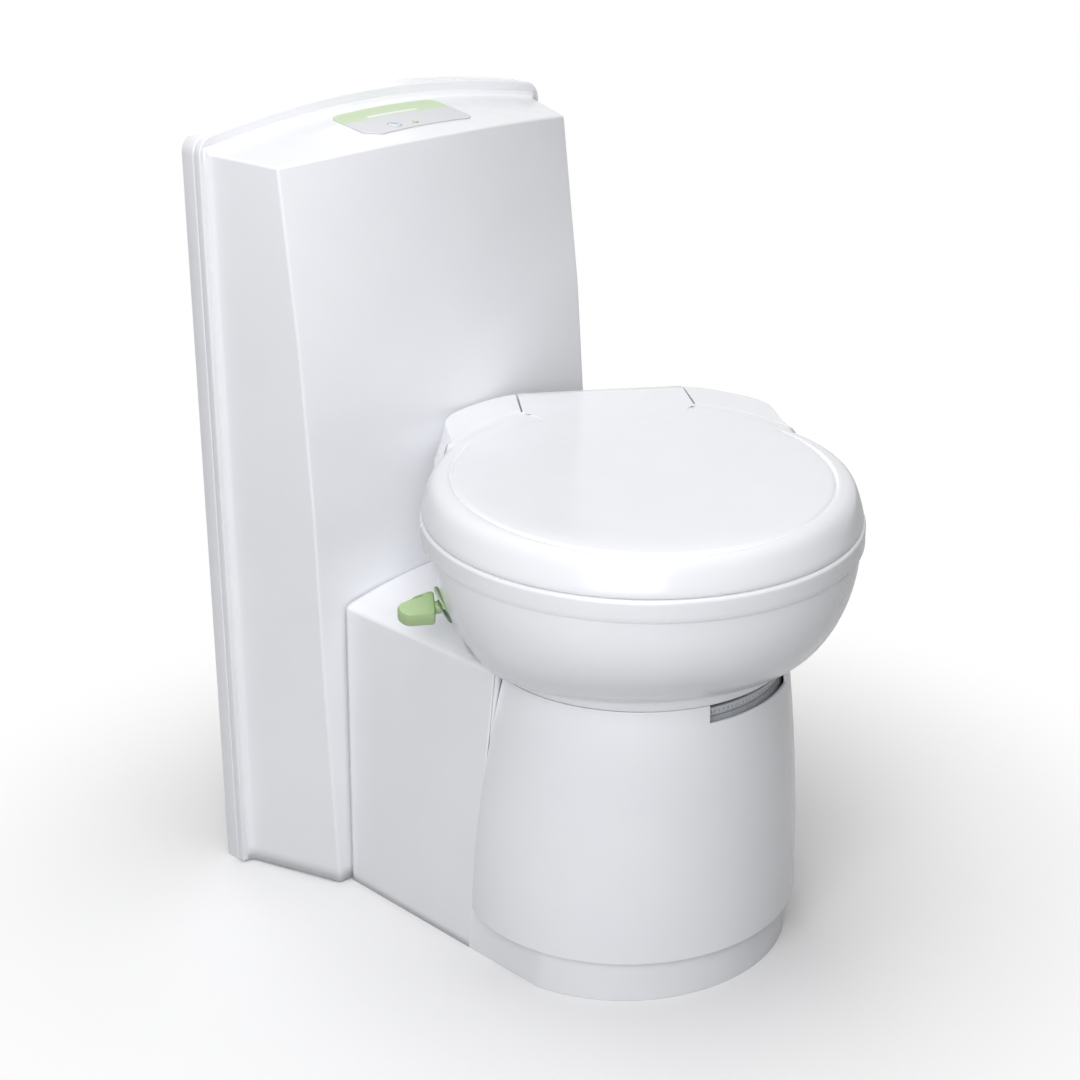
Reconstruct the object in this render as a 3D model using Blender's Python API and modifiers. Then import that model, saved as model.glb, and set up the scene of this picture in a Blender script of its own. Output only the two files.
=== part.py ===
"""Urine-diverting toilet with a swivelling bowl on a console.

Run with: blender --background --python part.py
Metres, +Z up. The floor is z = 0 and the origin is the point of the floor below the axis that
the bowl swivels on. The console's back is towards +Y, and its face looks towards -Y.
"""
import math

import bmesh
import bpy
from mathutils import Matrix, Vector

MM = 0.001

# Fits and working values
GAP = 0.3 * MM
OVERRUN = 2.0 * MM
MERGE = 0.01 * MM
ROUND_STEPS = 64
TURN_STEPS = 48
SMALL_STEPS = 24

# The height that the whole stack of the bowl stands at; heights above and below follow it
BOWL_FOOT = 311.8 * MM

# Console: back plate
BACK_Y = 409.1 * MM
PLATE_THICK = 20.0 * MM
PLATE_HALF_WIDTH = 226.7 * MM
PLATE_HEIGHT = 820.0 * MM
PLATE_SIDE_DROP = 19.0 * MM
PLATE_CORNER = 20.0 * MM
HATCH_HALF_WIDTH = 152.0 * MM
HATCH_BOTTOM = 10.0 * MM
HATCH_TOP = 206.0 * MM
VENT_X = 110.0 * MM
VENT_DROP = 220.0 * MM
VENT_Z = PLATE_HEIGHT - VENT_DROP
VENT_RADIUS = 34.0 * MM
WATER_X = -120.0 * MM
WATER_Z = 420.0 * MM

# Console: cover
COVER_WALL = 3.0 * MM
FLANGE_THICK = 10.2 * MM
FLANGE_LAND = 14.0 * MM
FLANGE_EDGE = 10.7 * MM
COVER_REAR_HALF = PLATE_HALF_WIDTH - FLANGE_EDGE
COVER_CENTRE_Y = 268.1 * MM
COVER_TOP_DROP = 15.2 * MM
COVER_TOP_REAR = PLATE_HEIGHT - COVER_TOP_DROP
COVER_ARCH = 17.2 * MM
COVER_ARCH_HALF = 193.0 * MM
COVER_SLOPE_SHARE = 0.146
COVER_EDGE_SHARE = 0.07
COVER_FOOT = 2.0 * MM
COVER_FLARE = 6.0 * MM
COVER_LEVELS = [0.0, 241.0 * MM, 434.0 * MM, 598.0 * MM, 776.0 * MM]
COVER_CORNER_Y = [270.4 * MM, 271.9 * MM, 268.6 * MM, 279.8 * MM, 301.1 * MM]
COVER_TAPERS = [37.7 * MM, 30.4 * MM, 24.5 * MM, 24.7 * MM, 25.0 * MM]
COVER_CORNER_HALF = [COVER_REAR_HALF - taper for taper in COVER_TAPERS]
CHUTE_HALF_WIDTH = 150.0 * MM
CHUTE_RISE = 0.2 * MM
CHUTE_HEIGHT = BOWL_FOOT + CHUTE_RISE
U_CUT_SHARES = [-0.88, -0.75, -0.6, -0.4, -0.2, 0.0, 0.2, 0.4, 0.6, 0.75, 0.88]
W_CUT_SHARES = [0.15, 0.31, 0.43, 0.55, 0.65, 0.76, 0.88]

# Control panel
PANEL_X0 = -75.5 * MM
PANEL_X1 = 60.5 * MM
PANEL_Y0 = 299.0 * MM
PANEL_Y1 = 366.0 * MM
PANEL_CHAMFER = 14.0 * MM
PANEL_CORNER = 9.0 * MM
PANEL_THICK = 1.4 * MM
KEY_X = -34.0 * MM
KEY_Y = 313.0 * MM
KEY_RADIUS = 7.0 * MM
KEY_CLEAR = 0.4 * MM
KEY_RAISE = 0.8 * MM
KEY_DEPTH = 6.0 * MM
KEY_TRAVEL = 0.8 * MM
STEM_RADIUS = 2.5 * MM
LENS_X = -10.0 * MM
LENS_Y = 309.0 * MM
LENS_RADIUS = 3.0 * MM
BOARD_X0 = -58.0 * MM
BOARD_X1 = 46.0 * MM
BOARD_Y0 = 300.0 * MM
BOARD_Y1 = 352.0 * MM
BOARD_DROP = 44.0 * MM
BOARD_TOP = PLATE_HEIGHT - BOARD_DROP
BOARD_THICK = 1.6 * MM
BOARD_INSET = 7.0 * MM
BOSS_RADIUS = 4.0 * MM
SWITCH_HALF = 4.0 * MM
SWITCH_HEIGHT = 4.0 * MM

# Water and air services in the console
VALVE_X0 = -146.0 * MM
VALVE_X1 = -94.0 * MM
VALVE_Y0 = 340.0 * MM
VALVE_Y1 = 381.0 * MM
VALVE_Z0 = 398.0 * MM
VALVE_Z1 = 442.0 * MM
COIL_RADIUS = 15.0 * MM
COIL_HEIGHT = 46.0 * MM
COIL_Y = 360.0 * MM
INLET_RADIUS = 8.0 * MM
INLET_BORE = 5.0 * MM
INLET_FLANGE = 14.0 * MM
INLET_FLANGE_THICK = 5.0 * MM
HOSE_RADIUS = 5.0 * MM
FAN_HALF = 41.0 * MM
FAN_DEPTH = 26.0 * MM
FAN_BORE = 37.0 * MM
FAN_HUB = 12.0 * MM
FAN_STRUT = 5.0 * MM
FAN_STRUT_DEPTH = 5.0 * MM
FAN_PIN = 2.0 * MM
FAN_PIN_LENGTH = 10.0 * MM
ROTOR_DEPTH = 14.0 * MM
ROTOR_TIP = 34.5 * MM
BLADE_THICK = 1.6 * MM
BLADE_COUNT = 5
BLADE_PITCH = math.radians(38)
FILTER_DEPTH = 14.0 * MM
FILTER_SLOT = 5.0 * MM
FILTER_SLOT_COUNT = 5
FILTER_SPREAD_SHARE = 0.9

# Plinth: the housing between the console and the column
PLINTH_WALL = 3.0 * MM
PLINTH_HALF_FOOT = 163.3 * MM
PLINTH_HALF_DECK = 157.0 * MM
DECK_RISE = 27.2 * MM
DECK_CENTRE = BOWL_FOOT + DECK_RISE
DECK_CROWN = 18.0 * MM
DECK_CROWN_HALF = 160.0 * MM
DECK_STEPS = 20
PLINTH_FRONT_TOP_Y = 41.3 * MM
PLINTH_FRONT_RISE = 4.2 * MM
PLINTH_FRONT_TOP_Z = BOWL_FOOT + PLINTH_FRONT_RISE
PLINTH_FRONT_FOOT_Y = 72.0 * MM
PLINTH_FRONT_FOOT_Z = 50.0 * MM
TOE_HALF_WIDTH = 166.2 * MM
TOE_LENGTH = 155.8 * MM
TOE_CENTRE_Y = 6.9 * MM
TOE_HEIGHT = 46.7 * MM
TOE_REAR_Y = 120.0 * MM
TOE_STEPS = 40
DECK_BORE = 150.6 * MM
TOE_BORE = 145.2 * MM
DIP_RADII = [0.0, 168.0 * MM, 173.2 * MM, 180.0 * MM, 190.0 * MM, 200.0 * MM]
DIP_RISES = [9.7 * MM, 9.7 * MM, 15.2 * MM, 22.2 * MM, 29.2 * MM, 36.2 * MM]
DIP_HEIGHTS = [BOWL_FOOT + rise for rise in DIP_RISES]
DIP_TOP_RISE = 68.2 * MM
DIP_TOP = BOWL_FOOT + DIP_TOP_RISE
DIP_INSET_SHARE = 0.5

# Column skirt, turntable and column core
COLUMN_TOP_RADIUS = 150.0 * MM
COLUMN_TOP = BOWL_FOOT - GAP
COLUMN_FOOT = 47.0 * MM
COLUMN_FULL = 60.0 * MM
COLUMN_HALF_WIDTH = 175.4 * MM
COLUMN_LENGTH = 169.8 * MM
COLUMN_CENTRE_Y = 10.3 * MM
COLUMN_WALL = 3.0 * MM
COLUMN_LEDGE_WIDTH = 14.0 * MM
WINDOW_FROM = math.radians(-18.5)
WINDOW_TO = math.radians(29.0)
WINDOW_HEIGHT = 18.0 * MM
WINDOW_REACH_SHARE = 1.2
CORE_RADIUS = 144.5 * MM
CORE_WALL = 3.5 * MM
RING_INNER = 132.0 * MM
UPPER_RING_TOP = BOWL_FOOT - GAP
UPPER_RING_THICK = 3.2 * MM
BEARING_TOP = UPPER_RING_TOP - UPPER_RING_THICK - GAP
BEARING_THICK = 2.0 * MM
BEARING_INSET = 3.0 * MM
LOWER_RING_TOP = BEARING_TOP - BEARING_THICK - GAP
LOWER_RING_THICK = 9.7 * MM
CORE_TOP = LOWER_RING_TOP - LOWER_RING_THICK - GAP

# Urine trough
SPOUT_PITCH = 122.0 * MM
TROUGH_HALF = 13.0 * MM
TROUGH_WALL = 2.0 * MM
TROUGH_DROP = 49.8 * MM
TROUGH_TOP = BOWL_FOOT - TROUGH_DROP
TROUGH_DEPTH = 36.0 * MM
TROUGH_BOTTOM = TROUGH_TOP - TROUGH_DEPTH
TROUGH_LUG = 12.0 * MM
TROUGH_DRAIN_RADIUS = 9.0 * MM
TROUGH_DRAIN_BORE = 6.5 * MM
TROUGH_DRAIN_LENGTH = 36.0 * MM
TROUGH_DRAIN_FOOT = TROUGH_BOTTOM - TROUGH_DRAIN_LENGTH
NOZZLE_ANGLE = math.radians(225)
NOZZLE_RADIUS = 7.0 * MM
NOZZLE_BORE = 3.0 * MM
NOZZLE_DROP = 35.8 * MM
NOZZLE_Z = BOWL_FOOT - NOZZLE_DROP
NOZZLE_REACH = 128.0 * MM
NOZZLE_TAIL = 153.0 * MM

# Base pan and rails
PAN_THICK = 3.7 * MM
PAN_CONSOLE_HALF = 174.0 * MM
PAN_CONSOLE_Y = 274.5 * MM
PAN_PLINTH_HALF = 159.0 * MM
PAN_TOE_CLEAR = 4.0 * MM
RAIL_X = 122.0 * MM
RAIL_WIDTH = 8.0 * MM
RAIL_TOP = 16.0 * MM
RAIL_FRONT_Y = -60.0 * MM
RAIL_REAR_Y = 386.0 * MM

# Container that slides out at the back
BIN_RADIUS = 104.0 * MM
BIN_WALL = 3.0 * MM
BIN_CLEAR = 4.0 * MM
BIN_TOP = TROUGH_DRAIN_FOOT - BIN_CLEAR
TRAY_THICK = 3.0 * MM
TRAY_STEPS = 24
TRAY_NARROW_HALF = 106.0 * MM
TRAY_REAR_Y = 372.0 * MM
TANK_HALF_WIDTH = 138.0 * MM
TANK_FRONT_Y = 105.0 * MM
TANK_REAR_Y = 370.0 * MM
TANK_WALL = 4.0 * MM
TANK_INLET_RADIUS = 10.0 * MM
NECK_X = 90.0 * MM
NECK_Y = 330.0 * MM
NECK_RADIUS = 20.0 * MM
NECK_BORE = 16.5 * MM
NECK_HEIGHT = 7.0 * MM
NECK_TOP = BIN_TOP + NECK_HEIGHT
CAP_RADIUS = 24.0 * MM
CAP_HEIGHT = 3.0 * MM
CAP_TOP = NECK_TOP + CAP_HEIGHT
ARCH_CLEAR = 4.0 * MM
CORE_ARCH = CAP_TOP + ARCH_CLEAR
CAP_SKIRT = 6.0 * MM
CAP_CLEAR = 0.4 * MM
HANDLE_HALF = 98.0 * MM
HANDLE_TUBE = 4.0 * MM
HANDLE_Y = 378.5 * MM
HANDLE_Z = 124.0 * MM
HANDLE_DROP = 58.0 * MM
HANDLE_BEND = 10.0 * MM
LUG_INNER = 84.0 * MM
LUG_OUTER = 92.5 * MM
LUG_HALF = 8.5 * MM
HANDLE_CLEAR = 0.4 * MM
WHEEL_RADIUS = 12.0 * MM
WHEEL_GAP = 1.0 * MM
WHEEL_WIDTH = 8.0 * MM
WHEEL_INNER_X = TANK_HALF_WIDTH + WHEEL_GAP
WHEEL_OUTER_X = WHEEL_INNER_X + WHEEL_WIDTH
WHEEL_Y = 350.0 * MM
WHEEL_Z = 24.0 * MM
AXLE_RADIUS = 3.0 * MM
AXLE_CLEAR = 0.3 * MM

# Bowl: all in the bowl's own frame, whose front is towards -Y
BOWL_TURN = math.radians(-36)
BELLY_HALF_FOOT = 163.5 * MM
BELLY_LENGTH_FOOT = 128.5 * MM
BELLY_CENTRE_FOOT = 34.0 * MM
BELLY_REAR_FOOT = 158.0 * MM
BELLY_HALF = 206.0 * MM
BELLY_LENGTH = 205.5 * MM
BELLY_CENTRE = 34.0 * MM
BELLY_REAR = 204.0 * MM
BELLY_SIDE_POWER = 1.84
BELLY_FRONT_POWER = 2.78
BELLY_LEVEL_SHARES = [0.0, 0.06, 0.14, 0.24, 0.36, 0.5, 0.66, 0.83, 1.0]
INNER_LEVEL_SHARES = [0.0, 0.14, 0.36, 0.66, 0.9, 1.0]
BOWL_WALL = 4.0 * MM
NECK_BAND_RADIUS = 150.0 * MM
NECK_BAND_HEIGHT = 13.2 * MM
NECK_BAND_TOP = BOWL_FOOT + NECK_BAND_HEIGHT
BELLY_STEP = 3.8 * MM
BELLY_FOOT = NECK_BAND_TOP + BELLY_STEP
BELLY_HEIGHT = 113.3 * MM
BELLY_TOP = BELLY_FOOT + BELLY_HEIGHT
BASE_THICK = 4.0 * MM
BASE_BORE = 114.0 * MM

# Diverting insert
INSERT_STEPS = 48
INSERT_WALL = 3.0 * MM
INSERT_FLANGE_THICK = 4.5 * MM
INSERT_EDGE = 4.6 * MM
SOLIDS_Y = 38.0 * MM
SOLIDS_FOOT_RADIUS = 50.0 * MM
SOLIDS_MID_RADIUS = 56.0 * MM
SOLIDS_MID_RISE = 38.2 * MM
SOLIDS_MID = BOWL_FOOT + SOLIDS_MID_RISE
SOLIDS_UPPER_RADIUS = 78.0 * MM
SOLIDS_UPPER_RISE = 90.2 * MM
SOLIDS_UPPER = BOWL_FOOT + SOLIDS_UPPER_RISE
SOLIDS_MOUTH_HALF = 150.0 * MM
SOLIDS_MOUTH_LENGTH = 118.0 * MM
SOLIDS_MOUTH_Y = 34.0 * MM
BASIN_MOUTH_HALF = 128.0 * MM
BASIN_MOUTH_LENGTH = 78.0 * MM
BASIN_MOUTH_Y = -106.0 * MM
BASIN_MID_HALF = 88.0 * MM
BASIN_MID_LENGTH = 46.0 * MM
BASIN_MID_Y = -112.0 * MM
BASIN_MID_RISE = 90.2 * MM
BASIN_MID = BOWL_FOOT + BASIN_MID_RISE
BASIN_FOOT_HALF = 26.0 * MM
BASIN_FOOT_LENGTH = 16.0 * MM
BASIN_FOOT_RISE = 66.2 * MM
BASIN_FOOT = BOWL_FOOT + BASIN_FOOT_RISE
SPOUT_RADIUS = 9.0 * MM
SPOUT_BORE = 6.5 * MM
SPOUT_DIP = 8.0 * MM
SPOUT_FOOT = TROUGH_TOP - SPOUT_DIP
SPOUT_CLEAR = 0.6 * MM
GRATE_RADIUS = 14.0 * MM
GRATE_THICK = 2.0 * MM
GRATE_HOLE = 1.8 * MM
GRATE_PITCH = 7.5 * MM
GRATE_COUNT = 6

# Solids valve under the insert, and its knob
FRAME_BOTTOM = BOWL_FOOT + BASE_THICK + GAP
FRAME_THICK = 3.0 * MM
FRAME_RADIUS = 120.0 * MM
FLAP_RADIUS = 54.0 * MM
FLAP_THICK = 3.4 * MM
FLAP_AXIS_Y = -18.0 * MM
FLAP_AXIS_DROP = 7.1 * MM
FLAP_AXIS_Z = FRAME_BOTTOM - FLAP_AXIS_DROP
FLAP_HUB = 6.8 * MM
FLAP_HUB_HALF = 22.0 * MM
FLAP_SHAFT = 4.0 * MM
FLAP_SHAFT_END = 66.0 * MM
SHAFT_CLEAR = 0.3 * MM
LUG_X = 58.0 * MM
LUG_THICK = 5.0 * MM
FRAME_LUG_HALF = 8.0 * MM
GEAR_PLATE_X = -84.0 * MM
GEAR_X0 = -98.0 * MM
GEAR_X1 = -92.0 * MM
GEAR_TEETH = 18
GEAR_BACKLASH_SHARE = 0.1
PRESSURE_ANGLE = math.radians(20)
ADDENDUM_SHARE = 0.78
DEDENDUM_SHARE = 1.05
KNOB_RISE = 54.8 * MM
KNOB_Z = BOWL_FOOT + KNOB_RISE
KNOB_SHAFT = 5.0 * MM
KNOB_INNER_X = -195.2 * MM
KNOB_COLLAR_X = -201.0 * MM
KNOB_HALF_THICK = 9.0 * MM
KNOB_POINTS = [(-201.0 * MM, -15.6 * MM), (-201.0 * MM, 15.6 * MM), (-236.0 * MM, 6.5 * MM),
               (-239.0 * MM, 3.0 * MM), (-239.0 * MM, -8.5 * MM), (-232.0 * MM, -15.6 * MM)]
KNOB_TILT = math.radians(60)
KNOB_COLLAR = 7.8 * MM
KNOB_BEVEL = 2.5 * MM
ROSE_RADIUS = 16.0 * MM
ROSE_INNER_X = -184.0 * MM
ROSE_OUTER_X = -194.5 * MM

# Seat, hinge wings and lid
RIM_HALF = 212.4 * MM
RIM_LENGTH = 227.3 * MM
RIM_CENTRE = 13.4 * MM
SEAT_PROUD = 2.0 * MM
SEAT_HALF = RIM_HALF + SEAT_PROUD
SEAT_LENGTH = RIM_LENGTH + SEAT_PROUD
SEAT_BOTTOM = BELLY_TOP + GAP
SEAT_THICK = 21.2 * MM
SEAT_TOP = SEAT_BOTTOM + SEAT_THICK
SEAT_OPEN_HALF = 118.0 * MM
SEAT_OPEN_LENGTH = 152.0 * MM
SEAT_OPEN_CENTRE = 22.0 * MM
SEAT_EDGE = 6.0 * MM
SEAT_PIN_X = 174.0 * MM
SEAT_PIN_Y = 40.0 * MM
SEAT_PIN_RADIUS = 5.0 * MM
SEAT_PIN_LENGTH = 16.0 * MM
LID_BOTTOM = SEAT_TOP + GAP
LID_RISES = [0.0, 6.1 * MM, 16.1 * MM, 25.1 * MM, 31.6 * MM, 35.9 * MM, 38.1 * MM]
LID_LEVELS = [LID_BOTTOM + rise for rise in LID_RISES]
LID_INSETS = [0.8 * MM, 0.0, 1.5 * MM, 3.4 * MM, 6.4 * MM, 11.5 * MM, 19.5 * MM]
LID_CROWN_RISE = 40.6 * MM
LID_CROWN = LID_BOTTOM + LID_CROWN_RISE
LID_CROWN_SHARE = 0.45
LID_WALL = 3.0 * MM
HINGE_Y = 225.0 * MM
HINGE_RISE = 23.1 * MM
HINGE_Z = LID_BOTTOM + HINGE_RISE
HINGE_PIN = 4.0 * MM
HINGE_PIN_HALF = 120.0 * MM
HINGE_BARREL = 10.0 * MM
TONGUE_HALF = 89.2 * MM
TONGUE_REAR_HALF = 87.6 * MM
TONGUE_FRONT_Y = 120.0 * MM
TONGUE_SLOT_Y = 222.0 * MM
TONGUE_REAR_Y = 251.0 * MM
TONGUE_BOTTOM_RISE = 24.1 * MM
TONGUE_BOTTOM = LID_BOTTOM + TONGUE_BOTTOM_RISE
TONGUE_TOP_RISE = 39.1 * MM
TONGUE_TOP = LID_BOTTOM + TONGUE_TOP_RISE
TONGUE_ROUND = 5.0 * MM
LID_RELIEF_Y = 184.0 * MM
LID_RELIEF_RISE = 7.1 * MM
LID_RELIEF_Z = LID_BOTTOM + LID_RELIEF_RISE
WING_INNER_X = 90.0 * MM
WING_SLOT_X = 92.4 * MM
WING_SEAM = 2.7 * MM
CORNER_FRONT_Y = 92.0 * MM
CORNER_INSET = 6.0 * MM
CORNER_FILL = 22.0 * MM
CORNER_TOP_RISE = 35.5 * MM
CORNER_TOP = LID_BOTTOM + CORNER_TOP_RISE
CORNER_LOW_RISE = 25.1 * MM
CORNER_LOW = LID_BOTTOM + CORNER_LOW_RISE
CORNER_STEPS = 10
WING_RISE = 39.1 * MM
WING_TOP = LID_BOTTOM + WING_RISE
WING_TOP_POINTS = [(80.0 * MM, 251.0 * MM), (92.0 * MM, 250.0 * MM), (130.0 * MM, 232.0 * MM),
                   (155.0 * MM, 212.0 * MM), (168.0 * MM, 194.0 * MM), (172.0 * MM, 176.0 * MM),
                   (172.0 * MM, 140.0 * MM), (168.0 * MM, 92.0 * MM), (80.0 * MM, 92.0 * MM)]
WING_FOOT_POINTS = [(80.0 * MM, 250.0 * MM), (92.0 * MM, 249.0 * MM), (132.0 * MM, 226.0 * MM),
                    (162.0 * MM, 203.0 * MM), (176.0 * MM, 186.0 * MM), (184.0 * MM, 168.0 * MM),
                    (188.0 * MM, 136.0 * MM), (190.0 * MM, 92.0 * MM), (80.0 * MM, 92.0 * MM)]
WING_SIDE_DROP = 5.0 * MM
WING_DROP_HALF = 175.0 * MM

NODES = bpy.data.collections.new("urine_diverting_toilet")
CUTTERS = bpy.data.collections.new("cutters")


# Scene and material helpers
def clear_scene():
    for item in list(bpy.data.objects):
        bpy.data.objects.remove(item, do_unlink=True)
    bpy.context.scene.collection.children.link(NODES)
    bpy.context.scene.collection.children.link(CUTTERS)


def material(name, colour, roughness, metallic=0.0, alpha=1.0):
    made = bpy.data.materials.new(name)
    made.use_nodes = True
    shader = made.node_tree.nodes["Principled BSDF"]
    shader.inputs["Base Color"].default_value = (*colour, 1.0)
    shader.inputs["Roughness"].default_value = roughness
    shader.inputs["Metallic"].default_value = metallic
    shader.inputs["Alpha"].default_value = alpha
    made.diffuse_color = (*colour, 1.0)
    return made


def empty(name, place, turn=0.0, parent=None):
    made = bpy.data.objects.new(name, None)
    made.location = place
    made.rotation_euler = (0.0, 0.0, turn)
    made.parent = parent
    NODES.objects.link(made)
    return made


def put(mesh, name, look=None, frame=None, cutter=False):
    """Make an object of a mesh whose points are in the console's or the bowl's frame."""
    if isinstance(mesh, bmesh.types.BMesh):
        data = bpy.data.meshes.new(name)
        mesh.to_mesh(data)
        mesh.free()
    else:
        data = mesh
        data.name = name
    made = bpy.data.objects.new(name, data)
    if look:
        data.materials.append(look)
    if frame:
        made.parent = frame
        if frame.parent or frame not in (bowl_frame,):
            data.transform(Matrix.Translation(-frame.location))
    if cutter:
        made.hide_render = True
        made.display_type = "WIRE"
        CUTTERS.objects.link(made)
    else:
        NODES.objects.link(made)
    return made


def combine(target, tool, operation):
    step = target.modifiers.new(operation.lower(), "BOOLEAN")
    step.operation = operation
    step.solver = "EXACT"
    step.object = tool
    return step


def take(target, mesh, frame=None, name=None):
    tool = put(mesh, (name or target.name + "_cut") + str(len(CUTTERS.objects)), None, frame, True)
    combine(target, tool, "DIFFERENCE")
    return tool


def join(target, mesh, frame=None):
    tool = put(mesh, target.name + "_add" + str(len(CUTTERS.objects)), None, frame, True)
    combine(target, tool, "UNION")
    return tool


# Shape helpers
def box(low, high):
    mesh = bmesh.new()
    bmesh.ops.create_cube(mesh, size=1.0)
    low, high = Vector(low), Vector(high)
    size, middle = high - low, (high + low) / 2
    bmesh.ops.scale(mesh, vec=size, verts=mesh.verts)
    bmesh.ops.translate(mesh, vec=middle, verts=mesh.verts)
    return mesh


def cylinder(radius, start, end, steps=SMALL_STEPS, end_radius=None):
    mesh = bmesh.new()
    start, end = Vector(start), Vector(end)
    along = end - start
    turn = along.to_track_quat("Z", "Y").to_matrix().to_4x4()
    bmesh.ops.create_cone(mesh, cap_ends=True, cap_tris=False, segments=steps, radius1=radius,
                          radius2=radius if end_radius is None else end_radius,
                          depth=along.length,
                          matrix=Matrix.Translation((start + end) / 2) @ turn)
    return mesh


def loft(rings, ring_closed=False):
    """Skin a row of rings with equal numbers of points; the ends are capped, or joined."""
    mesh = bmesh.new()
    rows = [[mesh.verts.new(point) for point in ring] for ring in rings]
    pairs = list(zip(rows, rows[1:]))
    if ring_closed:
        pairs.append((rows[-1], rows[0]))
    for low, high in pairs:
        for here in range(len(low)):
            after = (here + 1) % len(low)
            mesh.faces.new((low[here], low[after], high[after], high[here]))
    if not ring_closed:
        mesh.faces.new(list(reversed(rows[0])))
        mesh.faces.new(rows[-1])
    bmesh.ops.recalc_face_normals(mesh, faces=mesh.faces)
    return mesh


def turned(profile, steps=TURN_STEPS, centre_x=0.0, centre_y=0.0):
    """Turn a closed outline of (radius, height) pairs about Z with a Screw modifier."""
    mesh = bmesh.new()
    points = [mesh.verts.new((radius, 0.0, height)) for radius, height in profile]
    for here, after in zip(points, points[1:] + points[:1]):
        if here.co.x > MERGE or after.co.x > MERGE:
            mesh.edges.new((here, after))
    data = bpy.data.meshes.new("turned")
    mesh.to_mesh(data)
    mesh.free()
    made = bpy.data.objects.new("turned", data)
    bpy.context.scene.collection.objects.link(made)
    screw = made.modifiers.new("turn", "SCREW")
    screw.angle = math.tau
    screw.steps = steps
    screw.render_steps = steps
    screw.use_merge_vertices = True
    screw.merge_threshold = MERGE
    result = bpy.data.meshes.new_from_object(
        made.evaluated_get(bpy.context.evaluated_depsgraph_get()))
    bpy.data.objects.remove(made, do_unlink=True)
    result.transform(Matrix.Translation((centre_x, centre_y, 0.0)))
    mesh = bmesh.new()
    mesh.from_mesh(result)
    bmesh.ops.remove_doubles(mesh, verts=mesh.verts, dist=MERGE)
    bmesh.ops.recalc_face_normals(mesh, faces=mesh.faces)
    return mesh


def flat(outlines, low, high, normal="Z"):
    """Extrude 2D outlines, the first one outside and the rest holes, between two levels."""
    curve = bpy.data.curves.new("outline", "CURVE")
    curve.dimensions = "2D"
    curve.fill_mode = "BOTH"
    curve.extrude = (high - low) / 2
    for points in outlines:
        spline = curve.splines.new("POLY")
        spline.points.add(len(points) - 1)
        for place, (across, up) in zip(spline.points, points):
            place.co = (across, up, 0.0, 1.0)
        spline.use_cyclic_u = True
    made = bpy.data.objects.new("outline", curve)
    bpy.context.scene.collection.objects.link(made)
    result = bpy.data.meshes.new_from_object(
        made.evaluated_get(bpy.context.evaluated_depsgraph_get()))
    bpy.data.objects.remove(made, do_unlink=True)
    middle = (low + high) / 2
    if normal == "Z":
        result.transform(Matrix.Translation((0.0, 0.0, middle)))
    elif normal == "Y":
        result.transform(Matrix.Translation((0.0, middle, 0.0))
                         @ Matrix.Rotation(math.pi / 2, 4, "X"))
    else:
        result.transform(Matrix.Translation((middle, 0.0, 0.0))
                         @ Matrix.Rotation(math.pi / 2, 4, "Z")
                         @ Matrix.Rotation(math.pi / 2, 4, "X"))
    mesh = bmesh.new()
    mesh.from_mesh(result)
    bmesh.ops.remove_doubles(mesh, verts=mesh.verts, dist=MERGE)
    bmesh.ops.recalc_face_normals(mesh, faces=mesh.faces)
    return mesh


def tube(points, radius, resolution=2):
    curve = bpy.data.curves.new("tube", "CURVE")
    curve.dimensions = "3D"
    curve.bevel_depth = radius
    curve.bevel_resolution = resolution
    curve.use_fill_caps = True
    curve.resolution_u = 4
    spline = curve.splines.new("POLY")
    spline.points.add(len(points) - 1)
    for place, point in zip(spline.points, points):
        place.co = (*point, 1.0)
    made = bpy.data.objects.new("tube", curve)
    bpy.context.scene.collection.objects.link(made)
    result = bpy.data.meshes.new_from_object(
        made.evaluated_get(bpy.context.evaluated_depsgraph_get()))
    bpy.data.objects.remove(made, do_unlink=True)
    mesh = bmesh.new()
    mesh.from_mesh(result)
    bmesh.ops.remove_doubles(mesh, verts=mesh.verts, dist=MERGE)
    bmesh.ops.recalc_face_normals(mesh, faces=mesh.faces)
    return mesh


def rounded(points, radius, steps=4):
    """Round the corners of a 3D path for a bent tube."""
    points = [Vector(point) for point in points]
    made = [points[0]]
    for before, here, after in zip(points, points[1:], points[2:]):
        start = here + (before - here).normalized() * radius
        end = here + (after - here).normalized() * radius
        for step in range(steps + 1):
            share = step / steps
            made.append(start.lerp(here, share).lerp(here.lerp(end, share), share))
    return made + [points[-1]]


def circle(radius, centre=(0.0, 0.0), steps=ROUND_STEPS):
    return [(centre[0] + radius * math.cos(math.tau * step / steps),
             centre[1] + radius * math.sin(math.tau * step / steps)) for step in range(steps)]


def oval(half_width, front, rear, centre_y, height, steps=ROUND_STEPS):
    """A ring whose front half and rear half are two half ellipses with one widest line."""
    ring = []
    for step in range(steps):
        angle = math.tau * step / steps
        length = front if math.cos(angle) > 0 else rear
        ring.append((half_width * math.sin(angle), centre_y - length * math.cos(angle), height))
    return ring


def between(value, keys, values):
    """Straight-line value of a table, continued beyond its ends."""
    for low in range(len(keys) - 2):
        if value < keys[low + 1]:
            break
    else:
        low = len(keys) - 2
    share = (value - keys[low]) / (keys[low + 1] - keys[low])
    return values[low] + share * (values[low + 1] - values[low])


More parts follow.
